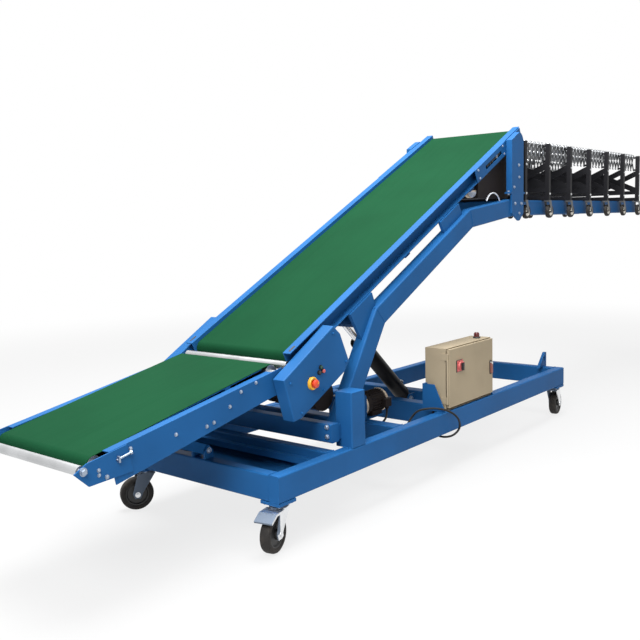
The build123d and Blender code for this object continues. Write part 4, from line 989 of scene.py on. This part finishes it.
@dataclass
class PowerPack:
    """Hydraulic power pack: finned motor, valve block and tank with its filler cap."""

    axis: tuple = (-0.170, 0.412)
    motor: tuple = (1.025, 1.210)
    radius: float = 0.058
    fins: int = 26
    filler: tuple = (0.910, 0.486)

    def build(self) -> None:
        """Dresses the pack's own shapes and adds fins, cowl, screws and cap."""
        y, z = self.axis
        motor = Piece("pump_motor_finished", MOTOR, CAST).copy_of("pump_motor", 0.0012)
        for k in range(self.fins):
            turn = math.tau * k / self.fins
            ray = Vector((0.0, math.cos(turn), math.sin(turn)))
            middle = at(self.motor[0] + 0.108, y, z) + ray * (self.radius + 0.0015)
            spread = Vector((0.062, 0.0045, 0.0013))
            motor.box(middle - spread, middle + spread, 0, 0.0007, Matrix.Rotation(turn, 3, "X"))
        motor.spun(((0.0, -0.002), (0.030, -0.002), (0.032, 0.002), (0.036, 0.002), (0.038, -0.002), (0.050, -0.002),
                    (0.058, 0.003), (0.0625, 0.010), (0.0625, 0.036), (0.0580, 0.038)),
                   at(self.motor[0], y, z), (1, 0, 0), 0, 36)
        motor.spun(((0.0575, -0.016), (0.0640, -0.016), (0.0650, -0.013), (0.0650, -0.001), (0.0575, -0.001)),
                   at(self.motor[1], y, z), (1, 0, 0), 1, 36)
        motor.spun(((0.0600, -0.002), (0.0600, 0.002), (0.0480, 0.008), (0.0260, 0.011), (0.0, 0.012)),
                   at(self.motor[1], y, z), (1, 0, 0), 1, 36)
        motor.settle("base", ["pump_motor"])
        block = Piece("pump_block_finished", CAST, ZINC).copy_of("pump_block", 0.0014)
        for dy in (-0.033, 0.033):
            for dz in (-0.033, 0.033):
                block.bolt(at(self.motor[0] - 0.015, y + 1.3 * dy, z + 1.3 * dz), (-1, 0, 0), 0.005, 1)
            fitting = at(self.motor[0] - 0.027, y + 0.5 * dy, z + 0.044)
            block.bar(fitting, fitting + Vector((0.0, 0.0, 0.018)), 0.010, 1, 6)
        block.settle("base", ["pump_block"])
        tank = Piece("oil_tank_finished", BLUE, NYLON).copy_of("oil_tank", 0.0014)
        cap = at(self.filler[0], y, self.filler[1])
        tank.spun(((0.0210, -0.001), (0.0235, 0.002), (0.0235, 0.020), (0.0215, 0.0238), (0.0, 0.0238)), cap,
                  (0, 0, 1), 1, 28)
        for k in range(14):
            turn = math.tau * k / 14
            foot = cap + Vector((math.cos(turn), math.sin(turn), 0.0)) * 0.0235
            tank.bar(foot + Vector((0, 0, 0.003)), foot + Vector((0, 0, 0.019)), 0.0018, 1, 6)
        tank.settle("base", ["oil_tank"])


@dataclass
class ControlBox:
    """Control box with its hinged door, main switch, lock and signal lamp."""

    face: float = -0.500
    switch: tuple = (1.532, 0.580)
    lock: tuple = (1.901, 0.515)
    lamp: tuple = (1.862, -0.430, 0.690)
    door_x: tuple = (1.418, 1.931)
    door_z: tuple = (0.358, 0.684)

    def build(self) -> None:
        """Dresses the box and the door and sets the fittings on them."""
        finished("control_box", BEIGE, 0.0018)
        door = Piece("box_door_finished", BEIGE, ZINC).copy_of("box_door", 0.0018)
        door.settle("door", ["box_door"])
        self._switch()
        self._lamp()

    def _switch(self) -> None:
        """Rotary main switch on its plate, and the swing handle of the lock."""
        x, z = self.switch
        y = self.face
        gear = Piece("door_gear", PINK, NYLON, RUST, ZINC)
        gear.box(at(x - 0.037, y - 0.003, z - 0.034), at(x + 0.034, y + 0.001, z + 0.034), 1, 0.0012)
        gear.box(at(x - 0.031, y - 0.006, z - 0.031), at(x + 0.031, y - 0.002, z + 0.031), 0, 0.0012)
        gear.spun(((0.0240, 0.005), (0.0240, 0.010), (0.0215, 0.014), (0.0, 0.014)), at(x, y, z), (0, -1, 0), 0, 36)
        gear.box(at(x - 0.007, y - 0.030, z - 0.024), at(x + 0.007, y - 0.012, z + 0.024), 0, 0.003)
        x, z = self.lock
        gear.strap(at(x, y + 0.001, z - 0.030), at(x, y + 0.001, z + 0.030), 0.026, 0.005, (0, -1, 0), 1)
        gear.strap(at(x, y - 0.004, z - 0.028), at(x, y - 0.004, z + 0.022), 0.018, 0.009, (0, -1, 0), 2)
        gear.spun(((0.0075, 0.0), (0.0075, 0.0150), (0.0060, 0.0160), (0.0, 0.0160)), at(x, y, z + 0.026), (0, -1, 0), 3, 20)
        gear.settle("door", ["door_fittings"])

    def _lamp(self) -> None:
        """Signal lamp: screwed base and a dark red lens."""
        lamp = Piece("signal_lamp", LENS, NYLON)
        middle = at(*self.lamp)
        lamp.spun(((0.0220, -0.001), (0.0220, 0.0060), (0.0205, 0.0085), (0.0180, 0.0100), (0.0150, 0.0100)), middle,
                  (0, 0, 1), 1, 32)
        lamp.spun(((0.0170, 0.0080), (0.0170, 0.0240), (0.0155, 0.0300), (0.0110, 0.0345), (0.0, 0.0360)), middle,
                  (0, 0, 1), 0, 32)
        lamp.settle("base", ["box_lamp"])


@dataclass
class TeleUnit:
    """Legs on small castors, with rollers and a scissor lattice between them."""

    legs: int = 7
    first_x: float = 2.705
    cells: int = 6
    pitch: float = 0.0635
    roller_z: float = 1.905
    height: float = 0.120
    seat: float = 0.296
    link: tuple = (0.022, 0.003)
    fit: float = 0.0003
    foot: float = 1.5133
    post: tuple = (0.322, 0.352)
    rail_top: float = 1.602
    wheel: tuple = (0.028, 0.337, 1.4358)
    far: float = 100.0
    roller: tuple = ((0.0, -0.2955), (0.0075, -0.2955), (0.0075, -0.2900), (0.0120, -0.2900), (0.0175, -0.2885),
                     (0.0190, -0.2860), (0.0190, 0.2860), (0.0175, 0.2885), (0.0120, 0.2900), (0.0075, 0.2900),
                     (0.0075, 0.2955), (0.0, 0.2955))
    tyre: tuple = ((0.0300, -0.0100), (0.0330, -0.0135), (0.0410, -0.0138), (0.0460, -0.0105), (0.0475, -0.0050),
                   (0.0475, 0.0050), (0.0460, 0.0105), (0.0410, 0.0138), (0.0330, 0.0135), (0.0300, 0.0100))
    rim: tuple = ((0.0055, -0.0140), (0.0120, -0.0140), (0.0130, -0.0080), (0.0280, -0.0080), (0.0310, -0.0115),
                  (0.0310, 0.0115), (0.0280, 0.0080), (0.0130, 0.0080), (0.0120, 0.0140), (0.0055, 0.0140),
                  (0.0055, -0.0140))

    def build(self) -> None:
        """Builds the legs, then the rollers and links of each span."""
        for leg in range(1, self.legs + 1):
            self._leg(leg)
            self._wheels(leg)
        for span in range(1, self.legs):
            for cell in range(self.cells):
                self._roller(span, cell)
                self._links(span, cell)
        self._roller(self.legs, 0)

    @staticmethod
    def _body(leg: int) -> str:
        """The body of a leg; the first is fixed to the boom."""
        return "boom" if leg == 1 else f"leg_{leg}"

    def _x(self, span: int, cell: int) -> float:
        """Drawing X of a roller."""
        return self.first_x + ((span - 1) * self.cells + cell) * self.pitch

    def _share(self, cell: int) -> float:
        """Where a smooth step reaches the share of the way that a cell stands at."""
        return 0.5 - math.sin(math.asin(1.0 - 2.0 * cell / self.cells) / 3.0)

    def _leg(self, leg: int) -> None:
        """Black leg frame with crossed braces, pale castor forks and bright hangers."""
        x = self._x(leg, 0)
        piece = Piece(f"tele_leg_{leg}_finished", BLACK, LATTICE, ZINC).copy_of(f"tele_leg_{leg}", 0.001)
        piece.paint(1, lambda middle: middle.z < self.foot - 0.001)
        low, high, y = self.rail_top + 0.006, self.roller_z - self.height - 0.035, self.post[0] - 0.004
        for side in SIDES:
            for ends in ((-y, 0.0), (0.0, y)):
                piece.strap(at(x + 0.0035 * side, ends[0], low if side > 0 else high),
                            at(x + 0.0035 * side, ends[1], high if side > 0 else low), 0.046, 0.003, (side, 0, 0))
            piece.box(at(x + 0.026, side * 0.3135 - 0.0055, self.roller_z - 0.060),
                      at(x + 0.044, side * 0.3135 + 0.0055, self.roller_z - 0.022), 0, 0.001)
            piece.box(at(x + 0.019, side * self.post[0] - 0.006, self.foot + 0.030),
                      at(x + 0.024, side * self.post[0] + 0.010, self.roller_z - 0.004), 2, 0.0008)
            for z in (self.foot + 0.045, high):
                piece.bolt(at(x, side * self.post[1], z), (0, side, 0), 0.006, 2)
        piece.settle(self._body(leg), [f"tele_leg_{leg}"])

    def _wheels(self, leg: int) -> None:
        """Pair of small wheels under a leg."""
        dx, y, z = self.wheel
        piece = Piece(f"tele_wheels_{leg}_spun", TYRE, GALVANISED)
        for side in SIDES:
            hub = at(self._x(leg, 0) + dx, side * y, z)
            piece.spun(self.tyre, hub, (0, 1, 0), 0, 28).spun(self.rim, hub, (0, 1, 0), 1, 28)
        piece.settle(f"leg_wheels_{leg}", [f"tele_wheels_{leg}"])

    def _roller(self, span: int, cell: int) -> None:
        """Roller between two legs, on the first leg's body when it is the span's first; the others are left in place.
        """
        x = self._x(span, cell)
        piece = Piece(f"tele_roller_{span}_{cell}", ROLLER)
        piece.spun(self.roller, at(x, 0.0, self.roller_z), (0, 1, 0), 0, 20)
        if cell == 0:
            piece.settle(self._body(span), [f"tele_rollers_{span}"] if span < self.legs else [])
        else:
            start = x - self._share(cell) * self.far
            piece.stretch(self._body(span), self._body(span + 1), at(start, 0, 0), at(start + self.far, 0, 0))

    def _links(self, span: int, cell: int) -> None:
        """Crossed links of one cell on both sides, with their rivets."""
        x0, x1 = self._x(span, cell), self._x(span, cell + 1)
        low, high = self.roller_z - self.height, self.roller_z
        width, thick = self.link
        piece = Piece(f"tele_links_{span}_{cell}", LATTICE, ZINC)
        for side in SIDES:
            out = (0, side, 0)
            inner, outer = side * self.seat, side * (self.seat + thick + self.fit)
            piece.strap(at(x0, inner, low), at(x1, inner, high), width, thick, out)
            piece.strap(at(x1, outer, low), at(x0, outer, high), width, thick, out)
            head = outer + side * thick
            for x, z in (((x0 + x1) / 2, (low + high) / 2), (x1, low), (x1, high)):
                piece.bar(at(x, head, z), at(x, head + side * 0.004, z), 0.0065, 1, 10, tip=0.0045)
        first, last = self._share(cell), self._share(cell + 1)
        length = self.pitch / (last - first)
        start = x0 - first * length
        piece.stretch(self._body(span), self._body(span + 1), at(start, 0, 0), at(start + length, 0, 0))


def main() -> None:
    """Builds the camera, the stage and every sub-assembly in order."""
    logging.basicConfig(level=logging.INFO, format="%(name)s %(message)s")
    for part in (Viewpoint, Studio, ControlCable, BaseFrame, Castors, Boom, BeltRuns, ChainCases, BeltDrives,
                 LiftCylinder, PowerPack, ControlBox, TeleUnit):
        part().build()
        LOG.info("%s built", part.__name__)


if __name__ == "__main__":
    main()
